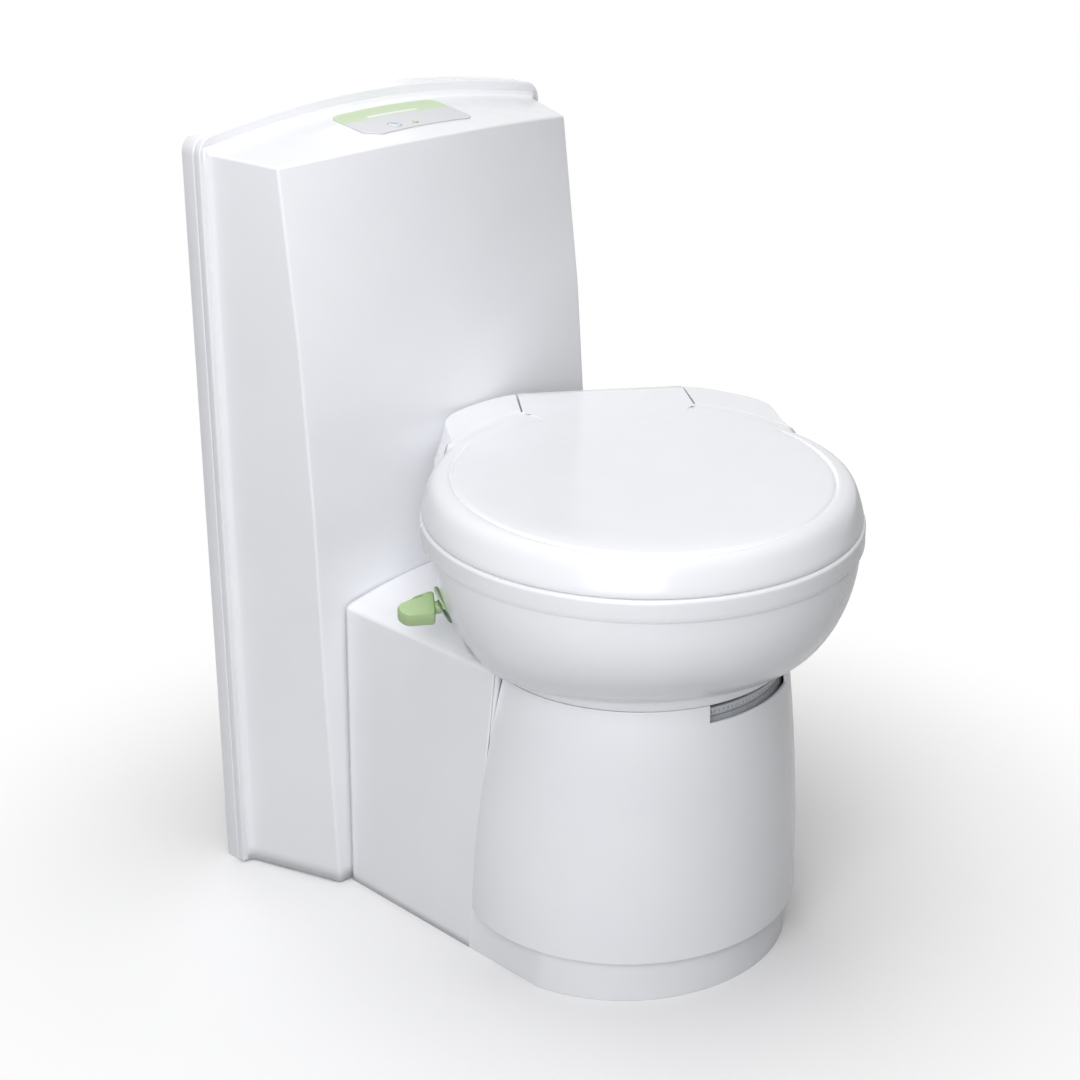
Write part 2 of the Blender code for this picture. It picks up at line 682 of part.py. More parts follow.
clear_scene()
bowl_frame = empty("bowl_axis", (0.0, 0.0, 0.0), BOWL_TURN)
seat_frame = empty("seat_lift_axis", (0.0, 0.0, SEAT_BOTTOM), 0.0, bowl_frame)
lid_frame = empty("lid_axis", (0.0, HINGE_Y, HINGE_Z), 0.0, bowl_frame)
knob_frame = empty("knob_axis", (KNOB_COLLAR_X, 0.0, KNOB_Z), 0.0, bowl_frame)
flap_frame = empty("flap_axis", (0.0, FLAP_AXIS_Y, FLAP_AXIS_Z), 0.0, bowl_frame)
key_frame = empty("flush_key_axis", (KEY_X, KEY_Y, BOARD_TOP))
fan_frame = empty("fan_axis", (VENT_X, BACK_Y - PLATE_THICK, VENT_Z))
cassette_frame = empty("cassette_axis", (0.0, 0.0, RAIL_TOP))
handle_frame = empty("handle_axis", (0.0, HANDLE_Y, HANDLE_Z))
cap_frame = empty("cap_axis", (NECK_X, NECK_Y, NECK_TOP))
wheel_left_frame = empty("wheel_left_axis", (-WHEEL_OUTER_X, WHEEL_Y, WHEEL_Z))
wheel_right_frame = empty("wheel_right_axis", (WHEEL_OUTER_X, WHEEL_Y, WHEEL_Z))

WHITE = (0.83, 0.84, 0.86)
white_gloss = {}
for piece in ("back_plate", "console_cover", "plinth_housing", "column_skirt", "bowl_shell",
              "seat_ring", "lid_shell", "hinge_wing_left", "hinge_wing_right", "bowl_insert"):
    white_gloss[piece] = material(piece, WHITE, 0.22)

# Back plate
plate_back_y = BACK_Y
plate_front_y = BACK_Y - PLATE_THICK


def plate_outline(inset=0.0, foot=0.0):
    half = PLATE_HALF_WIDTH - inset
    corner = PLATE_CORNER - inset
    centre_x = PLATE_HALF_WIDTH - PLATE_CORNER
    centre_z = PLATE_HEIGHT - PLATE_SIDE_DROP - PLATE_CORNER
    right = [(half, foot)]
    for step in range(6):
        angle = math.radians(75) * step / 5
        right.append((centre_x + corner * math.cos(angle), centre_z + corner * math.sin(angle)))
    end_x = right[-1][0]
    top = []
    for step in range(1, 12):
        across = end_x * (1 - step / 11)
        top.append((across, PLATE_HEIGHT - inset - PLATE_SIDE_DROP * (across / centre_x) ** 2))
    half_line = right + top
    return half_line + [(-across, up) for across, up in reversed(half_line[:-1])]


hatch = [(-HATCH_HALF_WIDTH, HATCH_BOTTOM), (HATCH_HALF_WIDTH, HATCH_BOTTOM),
         (HATCH_HALF_WIDTH, HATCH_TOP), (-HATCH_HALF_WIDTH, HATCH_TOP)]
back_plate = put(flat([plate_outline(), hatch,
                       circle(VENT_RADIUS, (VENT_X, VENT_Z), SMALL_STEPS),
                       circle(INLET_RADIUS + GAP, (WATER_X, WATER_Z), SMALL_STEPS)],
                      plate_front_y, plate_back_y, "Y"), "back_plate", white_gloss["back_plate"])

# Console cover
cover_rear_y = plate_front_y - GAP
flange_front_y = cover_rear_y - FLANGE_THICK


def cover_top(across, depth):
    return (COVER_TOP_REAR - COVER_ARCH * (across / COVER_ARCH_HALF) ** 2
            - COVER_SLOPE_SHARE * (flange_front_y - depth))


def flare(depth):
    start = flange_front_y - COVER_FLARE
    if depth <= start:
        return 0.0
    run = min(depth - start, COVER_FLARE)
    return COVER_FLARE - math.sqrt(COVER_FLARE ** 2 - run ** 2)


def cover_point(across, depth, up):
    """Map a share across (-1 to 1), rear to front (0 to 1) and up (0 to 1) to the cover."""
    level = COVER_FOOT + up * (COVER_LEVELS[-1] - COVER_FOOT)
    corner_y = between(level, COVER_LEVELS, COVER_CORNER_Y)
    corner_half = between(level, COVER_LEVELS, COVER_CORNER_HALF)
    front_y = COVER_CENTRE_Y + (corner_y - COVER_CENTRE_Y) * across ** 2
    y = flange_front_y + (front_y - flange_front_y) * depth
    half = COVER_REAR_HALF + (corner_half - COVER_REAR_HALF) * depth
    x = across * half
    z = COVER_FOOT + up * (cover_top(x, y) - COVER_FOOT)
    spread = flare(y)
    if abs(across) > 1 - COVER_EDGE_SHARE:
        x += math.copysign(spread, across)
    if up > 1 - COVER_EDGE_SHARE:
        z += spread
    return Vector((x, y, z))


mesh = bmesh.new()
bmesh.ops.create_cube(mesh, size=2.0)
flare_share = COVER_FLARE / (flange_front_y - COVER_CENTRE_Y)
cuts = [(Vector((share, 0.0, 0.0)), Vector((1.0, 0.0, 0.0))) for share in U_CUT_SHARES]
cuts += [(Vector((0.0, 0.0, 2 * share - 1)), Vector((0.0, 0.0, 1.0))) for share in W_CUT_SHARES]
cuts += [(Vector((0.0, 2 * share - 1, 0.0)), Vector((0.0, 1.0, 0.0)))
         for share in (flare_share / 3, flare_share * 2 / 3, flare_share, 0.5)]
for where, way in cuts:
    bmesh.ops.bisect_plane(mesh, geom=mesh.verts[:] + mesh.edges[:] + mesh.faces[:],
                           plane_co=where, plane_no=way)
open_faces = [face for face in mesh.faces
              if all(v.co.y < -1 + MERGE for v in face.verts)
              or all(v.co.z < -1 + MERGE for v in face.verts)]
bmesh.ops.delete(mesh, geom=open_faces, context="FACES")
for vert in mesh.verts:
    vert.co = cover_point(vert.co.x, (vert.co.y + 1) / 2, (vert.co.z + 1) / 2)
bmesh.ops.recalc_face_normals(mesh, faces=mesh.faces)
front_face = min(mesh.faces, key=lambda face: face.calc_center_median().y)
front_face.normal_update()
if front_face.normal.y > 0:
    bmesh.ops.reverse_faces(mesh, faces=mesh.faces)
console_cover = put(mesh, "console_cover", white_gloss["console_cover"])
wall = console_cover.modifiers.new("wall", "SOLIDIFY")
wall.thickness = COVER_WALL
wall.offset = -1.0
wall.use_even_offset = True
inner_outline = [(-(COVER_REAR_HALF - FLANGE_LAND / 2), COVER_FOOT - OVERRUN)]
for share in (-1.0, -0.75, -0.5, -0.25, 0.0, 0.25, 0.5, 0.75, 1.0):
    across = share * (COVER_REAR_HALF - FLANGE_LAND / 2)
    inner_outline.append((across, cover_top(across, flange_front_y) - FLANGE_LAND / 2))
inner_outline.append((COVER_REAR_HALF - FLANGE_LAND / 2, COVER_FOOT - OVERRUN))
flange = put(flat([plate_outline(0.0, COVER_FOOT)], flange_front_y - GAP / 3, cover_rear_y, "Y"),
             "console_cover_flange", None, None, True)
flange_hole = put(flat([inner_outline], flange_front_y - OVERRUN, cover_rear_y + OVERRUN, "Y"),
                  "console_cover_flange_hole", None, None, True)
combine(flange, flange_hole, "DIFFERENCE")
combine(console_cover, flange, "UNION")
take(console_cover, box((-CHUTE_HALF_WIDTH, COVER_CENTRE_Y - FLANGE_LAND, COVER_FOOT - OVERRUN),
                        (CHUTE_HALF_WIDTH, COVER_CENTRE_Y + FLANGE_LAND, CHUTE_HEIGHT)))

# Control panel, flush key, lens and circuit board
key_top = cover_top(KEY_X, KEY_Y)
lens_top = cover_top(LENS_X, LENS_Y)


def panel_outline():
    left_front = [(PANEL_X0, PANEL_Y0 + PANEL_CHAMFER), (PANEL_X0 + PANEL_CHAMFER, PANEL_Y0)]
    corners = [((PANEL_X1 - PANEL_CORNER, PANEL_Y0 + PANEL_CORNER), -1),
               ((PANEL_X1 - PANEL_CORNER, PANEL_Y1 - PANEL_CORNER), 0),
               ((PANEL_X0 + PANEL_CORNER, PANEL_Y1 - PANEL_CORNER), 1)]
    made = list(left_front)
    for (x, y), quarter in corners:
        for step in range(5):
            angle = math.pi / 2 * (quarter + step / 4)
            made.append((x + PANEL_CORNER * math.cos(angle), y + PANEL_CORNER * math.sin(angle)))
    return made


mesh = flat([panel_outline()], 0.0, PANEL_THICK)
panel_slices = 10
for step in range(1, panel_slices):
    across = PANEL_X0 + (PANEL_X1 - PANEL_X0) * step / panel_slices
    bmesh.ops.bisect_plane(mesh, geom=mesh.verts[:] + mesh.edges[:] + mesh.faces[:],
                           plane_co=(across, 0.0, 0.0), plane_no=(1.0, 0.0, 0.0))
for vert in mesh.verts:
    vert.co.z += cover_top(vert.co.x, vert.co.y) + GAP
control_panel = put(mesh, "control_panel", material("control_panel", (0.56, 0.66, 0.42), 0.35))
take(control_panel, cylinder(KEY_RADIUS + KEY_CLEAR, (KEY_X, KEY_Y, key_top - KEY_DEPTH),
                             (KEY_X, KEY_Y, key_top + KEY_DEPTH)))
take(control_panel, cylinder(LENS_RADIUS + GAP, (LENS_X, LENS_Y, lens_top - KEY_DEPTH),
                             (LENS_X, LENS_Y, lens_top + KEY_DEPTH)))
take(console_cover, cylinder(KEY_RADIUS + KEY_CLEAR, (KEY_X, KEY_Y, key_top - 3 * KEY_DEPTH),
                             (KEY_X, KEY_Y, key_top + KEY_DEPTH)))
take(console_cover, cylinder(LENS_RADIUS + GAP, (LENS_X, LENS_Y, lens_top - 3 * KEY_DEPTH),
                             (LENS_X, LENS_Y, lens_top + KEY_DEPTH)))
for x in (BOARD_X0 + BOARD_INSET, BOARD_X1 - BOARD_INSET):
    for y in (BOARD_Y0 + BOARD_INSET, BOARD_Y1 - BOARD_INSET):
        if x < 0 and y < (BOARD_Y0 + BOARD_Y1) / 2:
            x_here = BOARD_X0 + BOSS_RADIUS
        else:
            x_here = x
        join(console_cover, cylinder(BOSS_RADIUS, (x_here, y, BOARD_TOP + GAP),
                                     (x_here, y, cover_top(x_here, y) - COVER_WALL / 2), 12))
key_face = key_top + GAP + PANEL_THICK + KEY_RAISE
key = put(cylinder(KEY_RADIUS, (KEY_X, KEY_Y, key_top - KEY_DEPTH), (KEY_X, KEY_Y, key_face)),
          "flush_key", material("flush_key", (0.35, 0.55, 0.78), 0.3), key_frame)
join(key, cylinder(STEM_RADIUS, (KEY_X, KEY_Y, BOARD_TOP + SWITCH_HEIGHT + KEY_TRAVEL + GAP),
                   (KEY_X, KEY_Y, key_top - KEY_DEPTH + KEY_CLEAR), 12), key_frame)
put(cylinder(LENS_RADIUS, (LENS_X, LENS_Y, BOARD_TOP + GAP),
             (LENS_X, LENS_Y, lens_top + GAP + PANEL_THICK + KEY_CLEAR), 16),
    "status_lens", material("status_lens", (0.45, 0.72, 0.25), 0.15))
board = put(box((BOARD_X0, BOARD_Y0, BOARD_TOP - BOARD_THICK), (BOARD_X1, BOARD_Y1, BOARD_TOP)),
            "circuit_board", material("circuit_board", (0.06, 0.3, 0.12), 0.5))
join(board, box((KEY_X - SWITCH_HALF, KEY_Y - SWITCH_HALF, BOARD_TOP - BOARD_THICK / 2),
                (KEY_X + SWITCH_HALF, KEY_Y + SWITCH_HALF, BOARD_TOP + SWITCH_HEIGHT)))

# Water inlet, flush valve, hose and nozzle
steel_grey = material("water_inlet", (0.62, 0.63, 0.65), 0.3, 0.9)
inlet = put(cylinder(INLET_RADIUS, (WATER_X, VALVE_Y1 + GAP, WATER_Z),
                     (WATER_X, BACK_Y, WATER_Z)), "water_inlet", steel_grey)
join(inlet, cylinder(INLET_FLANGE, (WATER_X, plate_front_y - GAP - INLET_FLANGE_THICK, WATER_Z),
                     (WATER_X, plate_front_y - GAP, WATER_Z)))
take(inlet, cylinder(INLET_BORE, (WATER_X, VALVE_Y1 - OVERRUN, WATER_Z),
                     (WATER_X, BACK_Y + OVERRUN, WATER_Z), 16))
valve_x = (VALVE_X0 + VALVE_X1) / 2
flush_valve = put(box((VALVE_X0, VALVE_Y0, VALVE_Z0), (VALVE_X1, VALVE_Y1, VALVE_Z1)),
                  "flush_valve", material("flush_valve", (0.1, 0.1, 0.11), 0.45))
join(flush_valve, cylinder(COIL_RADIUS, (valve_x, COIL_Y, VALVE_Z1 - OVERRUN),
                           (valve_x, COIL_Y, VALVE_Z1 + COIL_HEIGHT)))
nozzle_way = Vector((math.sin(NOZZLE_ANGLE), -math.cos(NOZZLE_ANGLE), 0.0))
nozzle_in = nozzle_way * NOZZLE_REACH + Vector((0.0, 0.0, NOZZLE_Z))
nozzle_out = nozzle_way * NOZZLE_TAIL + Vector((0.0, 0.0, NOZZLE_Z))
nozzle = put(cylinder(NOZZLE_RADIUS, nozzle_in, nozzle_out, 16), "rinse_nozzle",
             material("rinse_nozzle", (0.12, 0.12, 0.13), 0.4))
take(nozzle, cylinder(NOZZLE_BORE, nozzle_in - nozzle_way * OVERRUN,
                      nozzle_out + nozzle_way * OVERRUN, 12))
hose_start = Vector((valve_x, COIL_Y, VALVE_Z0 - GAP))
hose_end = nozzle_out + nozzle_way * GAP
hose_low = nozzle_out + nozzle_way * 4 * NOZZLE_RADIUS
hose_corner = Vector((valve_x, COIL_Y, NOZZLE_Z))
put(tube(rounded([hose_start, hose_corner, hose_low, hose_end], NOZZLE_RADIUS * 3), HOSE_RADIUS, 1),
    "rinse_hose", material("rinse_hose", (0.2, 0.22, 0.25), 0.5))

# Vent fan and filter
fan_rear = plate_front_y - GAP
fan_front = fan_rear - FAN_DEPTH
fan_housing = put(box((VENT_X - FAN_HALF, fan_front, VENT_Z - FAN_HALF),
                      (VENT_X + FAN_HALF, fan_rear, VENT_Z + FAN_HALF)),
                  "fan_housing", material("fan_housing", (0.08, 0.08, 0.085), 0.5))
take(fan_housing, cylinder(FAN_BORE, (VENT_X, fan_front - OVERRUN, VENT_Z),
                           (VENT_X, fan_rear + OVERRUN, VENT_Z), 32))
strut = [box((VENT_X - FAN_HALF + FAN_STRUT / 2, fan_rear - FAN_STRUT_DEPTH, VENT_Z - FAN_STRUT / 2),
             (VENT_X + FAN_HALF - FAN_STRUT / 2, fan_rear, VENT_Z + FAN_STRUT / 2)),
         box((VENT_X - FAN_STRUT / 2, fan_rear - FAN_STRUT_DEPTH, VENT_Z - FAN_HALF + FAN_STRUT / 2),
             (VENT_X + FAN_STRUT / 2, fan_rear, VENT_Z + FAN_HALF - FAN_STRUT / 2)),
         cylinder(FAN_HUB, (VENT_X, fan_rear - FAN_STRUT_DEPTH - GAP, VENT_Z),
                  (VENT_X, fan_rear - GAP, VENT_Z)),
         cylinder(FAN_PIN, (VENT_X, fan_rear - FAN_STRUT_DEPTH - FAN_PIN_LENGTH, VENT_Z),
                  (VENT_X, fan_rear - GAP - GAP, VENT_Z), 12)]
for item in strut:
    join(fan_housing, item)
rotor_rear = fan_rear - FAN_STRUT_DEPTH - 2 * GAP
rotor_front = rotor_rear - ROTOR_DEPTH
rotor_mid = (rotor_rear + rotor_front) / 2
rotor = put(cylinder(FAN_HUB, (VENT_X, rotor_front, VENT_Z), (VENT_X, rotor_rear, VENT_Z)),
            "fan_rotor", material("fan_rotor", (0.1, 0.1, 0.11), 0.45), fan_frame)
blade_width = ROTOR_DEPTH - FAN_STRUT_DEPTH / 2
for step in range(BLADE_COUNT):
    blade = box((FAN_HUB - FAN_PIN, -blade_width / 2, -BLADE_THICK / 2),
                (ROTOR_TIP, blade_width / 2, BLADE_THICK / 2))
    bmesh.ops.transform(blade, verts=blade.verts,
                        matrix=Matrix.Translation((VENT_X, rotor_mid, VENT_Z))
                        @ Matrix.Rotation(math.tau * step / BLADE_COUNT, 4, "Y")
                        @ Matrix.Rotation(BLADE_PITCH, 4, "X"))
    join(rotor, blade, fan_frame)
take(rotor, cylinder(FAN_PIN + GAP, (VENT_X, rotor_front + FAN_PIN, VENT_Z),
                     (VENT_X, rotor_rear + OVERRUN, VENT_Z), 12), fan_frame)
filter_rear = fan_front - GAP
odour_filter = put(box((VENT_X - FAN_HALF, filter_rear - FILTER_DEPTH, VENT_Z - FAN_HALF),
                       (VENT_X + FAN_HALF, filter_rear, VENT_Z + FAN_HALF)),
                   "odour_filter", material("odour_filter", (0.05, 0.05, 0.055), 0.9))
for step in range(FILTER_SLOT_COUNT):
    level = VENT_Z + FAN_BORE * FILTER_SPREAD_SHARE * (2 * (step + 0.5) / FILTER_SLOT_COUNT - 1)
    take(odour_filter, box((VENT_X - FAN_BORE + FILTER_SLOT, filter_rear - FILTER_DEPTH - OVERRUN,
                            level - FILTER_SLOT / 2),
                           (VENT_X + FAN_BORE - FILTER_SLOT, filter_rear + OVERRUN,
                            level + FILTER_SLOT / 2)))

# Plinth housing: straight sides and crowned deck, cut to a slant at the column, with a toe
def deck_outline(inset=0.0):
    half_foot = PLINTH_HALF_FOOT - inset
    half_deck = PLINTH_HALF_DECK - inset
    foot = -inset
    points = [(half_foot, foot)]
    for step in range(DECK_STEPS + 1):
        across = half_deck * (1 - 2 * step / DECK_STEPS)
        points.append((across, DECK_CENTRE - inset
                       - DECK_CROWN * (across / DECK_CROWN_HALF) ** 2))
    points.append((-half_foot, foot))
    return points


def plinth_block(inset, name, cutter):
    front = PLINTH_FRONT_TOP_Y - 10 * OVERRUN
    rear = COVER_CENTRE_Y - GAP + (OVERRUN if inset else 0.0)
    block = put(flat([deck_outline(inset)], front, rear, "Y"), name,
                None if cutter else white_gloss["plinth_housing"], None, cutter)
    rise = PLINTH_FRONT_TOP_Z - PLINTH_FRONT_FOOT_Z
    run = PLINTH_FRONT_FOOT_Y - PLINTH_FRONT_TOP_Y
    front_cut = box((-PLATE_HALF_WIDTH, -PLATE_HALF_WIDTH, -PLATE_HALF_WIDTH),
                    (PLATE_HALF_WIDTH, 0.0, 2 * PLATE_HALF_WIDTH))
    shear = Matrix.Identity(4)
    shear[1][2] = -run / rise
    shear[1][3] = PLINTH_FRONT_FOOT_Y + PLINTH_FRONT_FOOT_Z * run / rise + inset
    bmesh.ops.transform(front_cut, verts=front_cut.verts, matrix=shear)
    take(block, front_cut, None, name + "_front")
    profile = [(radius + (inset * DIP_INSET_SHARE if radius else 0.0), height - inset)
               for radius, height in zip(DIP_RADII, DIP_HEIGHTS)]
    profile += [(DIP_RADII[-1] + inset, DIP_TOP), (0.0, DIP_TOP)]
    take(block, turned(profile, ROUND_STEPS), None, name + "_dip")
    return block


def toe_outline(inset=0.0, side=None):
    """An ellipse round the column that runs on into straight sides."""
    side = PLINTH_HALF_FOOT - inset if side is None else side
    half, length = TOE_HALF_WIDTH - inset, TOE_LENGTH - inset
    widest = math.pi - math.asin(side / half)
    points = [(side, TOE_REAR_Y)]
    for step in range(TOE_STEPS + 1):
        angle = widest * (1 - 2 * step / TOE_STEPS)
        points.append((half * math.sin(angle), TOE_CENTRE_Y - length * math.cos(angle)))
    return points + [(-side, TOE_REAR_Y)]


plinth = plinth_block(0.0, "plinth_housing", False)
join(plinth, flat([toe_outline()], 0.0, TOE_HEIGHT))
hollow = plinth_block(PLINTH_WALL, "plinth_hollow", True)
combine(plinth, hollow, "DIFFERENCE")
take(plinth, flat([toe_outline(PLINTH_WALL)], -OVERRUN, TOE_HEIGHT - PLINTH_WALL))
take(plinth, cylinder(DECK_BORE, (0.0, 0.0, TOE_HEIGHT + GAP), (0.0, 0.0, DIP_TOP), ROUND_STEPS))
take(plinth, cylinder(TOE_BORE, (0.0, 0.0, TOE_HEIGHT - PLINTH_WALL - OVERRUN),
                      (0.0, 0.0, TOE_HEIGHT + OVERRUN), ROUND_STEPS))


# Column skirt
def skirt_ring(height, inset):
    if height <= COLUMN_FULL:
        grown = 1.0
    else:
        grown = 1.0 - ((height - COLUMN_FULL) / (COLUMN_TOP - COLUMN_FULL)) ** 2
    half = COLUMN_TOP_RADIUS + (COLUMN_HALF_WIDTH - COLUMN_TOP_RADIUS) * grown - inset
    length = COLUMN_TOP_RADIUS + (COLUMN_LENGTH - COLUMN_TOP_RADIUS) * grown - inset
    return oval(half, length, length, COLUMN_CENTRE_Y * grown, height)


skirt_levels = [COLUMN_FOOT] + [COLUMN_FULL + (COLUMN_TOP - COLUMN_FULL) * share
                                for share in (0.0, 0.2, 0.4, 0.55, 0.7, 0.82, 0.92, 1.0)]
skirt = put(loft([skirt_ring(level, 0.0) for level in skirt_levels]), "column_skirt",
            white_gloss["column_skirt"])
inner_levels = [COLUMN_FOOT + COLUMN_WALL] + skirt_levels[1:-1] + [COLUMN_TOP + OVERRUN]
take(skirt, loft([skirt_ring(min(level, COLUMN_TOP), COLUMN_WALL)[:] if level <= COLUMN_TOP else
                  [(x, y, level) for x, y, z in skirt_ring(COLUMN_TOP, COLUMN_WALL)]
                  for level in inner_levels]))
take(skirt, loft([oval(COLUMN_HALF_WIDTH - COLUMN_LEDGE_WIDTH, COLUMN_LENGTH - COLUMN_LEDGE_WIDTH,
                       COLUMN_LENGTH - COLUMN_LEDGE_WIDTH, COLUMN_CENTRE_Y, level)
                  for level in (COLUMN_FOOT - OVERRUN, COLUMN_FOOT + 2 * COLUMN_WALL)]))
rise = PLINTH_FRONT_TOP_Z - PLINTH_FRONT_FOOT_Z
run = PLINTH_FRONT_FOOT_Y - PLINTH_FRONT_TOP_Y
rear_cut = box((-PLATE_HALF_WIDTH, 0.0, -PLATE_HALF_WIDTH),
               (PLATE_HALF_WIDTH, PLATE_HALF_WIDTH, 2 * PLATE_HALF_WIDTH))
shear = Matrix.Identity(4)
shear[1][2] = -run / rise
shear[1][3] = PLINTH_FRONT_FOOT_Y + PLINTH_FRONT_FOOT_Z * run / rise - GAP
bmesh.ops.transform(rear_cut, verts=rear_cut.verts, matrix=shear)
take(skirt, rear_cut)
window_reach = COLUMN_TOP_RADIUS * WINDOW_REACH_SHARE
window = [(0.0, 0.0)]
for step in range(9):
    angle = WINDOW_FROM + (WINDOW_TO - WINDOW_FROM) * step / 8
    window.append((window_reach * math.sin(angle), -window_reach * math.cos(angle)))
take(skirt, flat([window], COLUMN_TOP - WINDOW_HEIGHT, COLUMN_TOP + OVERRUN))

# Column core and the turntable rings
core = put(turned([(CORE_RADIUS - CORE_WALL, PAN_THICK + GAP), (CORE_RADIUS, PAN_THICK + GAP),
                   (CORE_RADIUS, CORE_TOP), (CORE_RADIUS - CORE_WALL, CORE_TOP)]),
           "column_core", material("column_core", (0.72, 0.73, 0.74), 0.5))
take(core, box((-CHUTE_HALF_WIDTH, 0.0, -OVERRUN), (CHUTE_HALF_WIDTH, CHUTE_HALF_WIDTH, CORE_ARCH)))
take(core, cylinder(NOZZLE_RADIUS + GAP, nozzle_in, nozzle_out, 16))
put(turned([(RING_INNER, CORE_TOP + GAP), (CORE_RADIUS, CORE_TOP + GAP),
            (CORE_RADIUS, LOWER_RING_TOP), (RING_INNER, LOWER_RING_TOP)]),
    "turntable_ring_lower", material("turntable_ring_lower", (0.75, 0.76, 0.77), 0.4))
put(turned([(RING_INNER + BEARING_INSET, LOWER_RING_TOP + GAP),
            (CORE_RADIUS - BEARING_INSET, LOWER_RING_TOP + GAP),
            (CORE_RADIUS - BEARING_INSET, BEARING_TOP), (RING_INNER + BEARING_INSET, BEARING_TOP)]),
    "bearing_ring", material("bearing_ring", (0.3, 0.31, 0.32), 0.4))
put(turned([(RING_INNER, BEARING_TOP + GAP), (CORE_RADIUS, BEARING_TOP + GAP),
            (CORE_RADIUS, UPPER_RING_TOP), (RING_INNER, UPPER_RING_TOP)]),
    "turntable_ring_upper", material("turntable_ring_upper", (0.75, 0.76, 0.77), 0.4),
    bowl_frame)

# Urine trough with its drain
inside = SPOUT_PITCH - TROUGH_HALF
outside = SPOUT_PITCH + TROUGH_HALF
trough = put(turned([(inside - TROUGH_WALL, TROUGH_BOTTOM), (outside + TROUGH_WALL, TROUGH_BOTTOM),
                     (outside + TROUGH_WALL, TROUGH_TOP), (outside, TROUGH_TOP),
                     (outside, TROUGH_BOTTOM + TROUGH_WALL), (inside, TROUGH_BOTTOM + TROUGH_WALL),
                     (inside, TROUGH_TOP), (inside - TROUGH_WALL, TROUGH_TOP)]),
             "urine_trough", material("urine_trough", (0.8, 0.8, 0.78), 0.35))
for angle in (0.0, 120.0, 240.0):
    lug = box((outside, -TROUGH_LUG / 2, TROUGH_TOP - TROUGH_LUG),
              (CORE_RADIUS - CORE_WALL - 3 * GAP, TROUGH_LUG / 2, TROUGH_TOP))
    bmesh.ops.rotate(lug, verts=lug.verts, matrix=Matrix.Rotation(math.radians(angle), 3, "Z"))
    join(trough, lug)
join(trough, cylinder(TROUGH_DRAIN_RADIUS, (0.0, SPOUT_PITCH, TROUGH_DRAIN_FOOT),
                      (0.0, SPOUT_PITCH, TROUGH_BOTTOM + TROUGH_WALL / 2), 16))
take(trough, cylinder(TROUGH_DRAIN_BORE, (0.0, SPOUT_PITCH, TROUGH_DRAIN_FOOT - OVERRUN),
                      (0.0, SPOUT_PITCH, TROUGH_BOTTOM + 2 * TROUGH_WALL), 16))

# Base pan and rails
pan = [(PAN_CONSOLE_HALF, PAN_CONSOLE_Y), (PAN_CONSOLE_HALF, plate_front_y - GAP),
       (-PAN_CONSOLE_HALF, plate_front_y - GAP), (-PAN_CONSOLE_HALF, PAN_CONSOLE_Y),
       (-CHUTE_HALF_WIDTH + GAP, PAN_CONSOLE_Y)]
toe_pan = [(x, y) for x, y in toe_outline(PAN_TOE_CLEAR, PAN_PLINTH_HALF) if y < TOE_REAR_Y]
pan += [(-CHUTE_HALF_WIDTH + GAP, COVER_CENTRE_Y - FLANGE_LAND),
        (-PAN_PLINTH_HALF, COVER_CENTRE_Y - FLANGE_LAND)]
pan += list(reversed(toe_pan))
pan += [(PAN_PLINTH_HALF, COVER_CENTRE_Y - FLANGE_LAND),
        (CHUTE_HALF_WIDTH - GAP, COVER_CENTRE_Y - FLANGE_LAND),
        (CHUTE_HALF_WIDTH - GAP, PAN_CONSOLE_Y)]
put(flat([pan], 0.0, PAN_THICK), "base_pan", material("base_pan", (0.3, 0.31, 0.33), 0.55))
for side, name in ((-1.0, "rail_left"), (1.0, "rail_right")):
    low, high = sorted((side * (RAIL_X - RAIL_WIDTH / 2), side * (RAIL_X + RAIL_WIDTH / 2)))
    put(box((low, RAIL_FRONT_Y, PAN_THICK + GAP), (high, RAIL_REAR_Y, RAIL_TOP)), name,
        material(name, (0.55, 0.56, 0.57), 0.4))

# Container: tray, solids bin, urine tank, handle, cap and wheels
tray_bottom = RAIL_TOP + GAP
tray_top = tray_bottom + TRAY_THICK
bin_bottom = tray_top + GAP
tray = [(TANK_HALF_WIDTH, TANK_FRONT_Y), (TANK_HALF_WIDTH, TRAY_REAR_Y),
        (-TANK_HALF_WIDTH, TRAY_REAR_Y), (-TANK_HALF_WIDTH, TANK_FRONT_Y)]
for step in range(TRAY_STEPS + 1):
    angle = math.pi * step / TRAY_STEPS
    tray.append((-TRAY_NARROW_HALF * math.cos(angle), -TRAY_NARROW_HALF * math.sin(angle)))
tray.insert(4, (-TRAY_NARROW_HALF, TANK_FRONT_Y))
tray.append((TRAY_NARROW_HALF, TANK_FRONT_Y))
put(flat([tray], tray_bottom, tray_top), "container_tray",
    material("container_tray", (0.35, 0.36, 0.38), 0.5), cassette_frame)
put(turned([(0.0, bin_bottom), (BIN_RADIUS - BIN_WALL, bin_bottom), (BIN_RADIUS, BIN_TOP),
            (BIN_RADIUS - BIN_WALL, BIN_TOP), (BIN_RADIUS - 2 * BIN_WALL, bin_bottom + BIN_WALL),
            (0.0, bin_bottom + BIN_WALL)]),
    "solids_bin", material("solids_bin", (0.18, 0.2, 0.22), 0.5), cassette_frame)
tank = put(box((-TANK_HALF_WIDTH, TANK_FRONT_Y, bin_bottom), (TANK_HALF_WIDTH, TANK_REAR_Y, BIN_TOP)),
           "urine_tank", material("urine_tank", (0.8, 0.76, 0.55), 0.35), cassette_frame)
take(tank, box((TANK_WALL - TANK_HALF_WIDTH, TANK_FRONT_Y + TANK_WALL, bin_bottom + TANK_WALL),
               (TANK_HALF_WIDTH - TANK_WALL, TANK_REAR_Y - TANK_WALL, BIN_TOP - TANK_WALL)),
     cassette_frame)
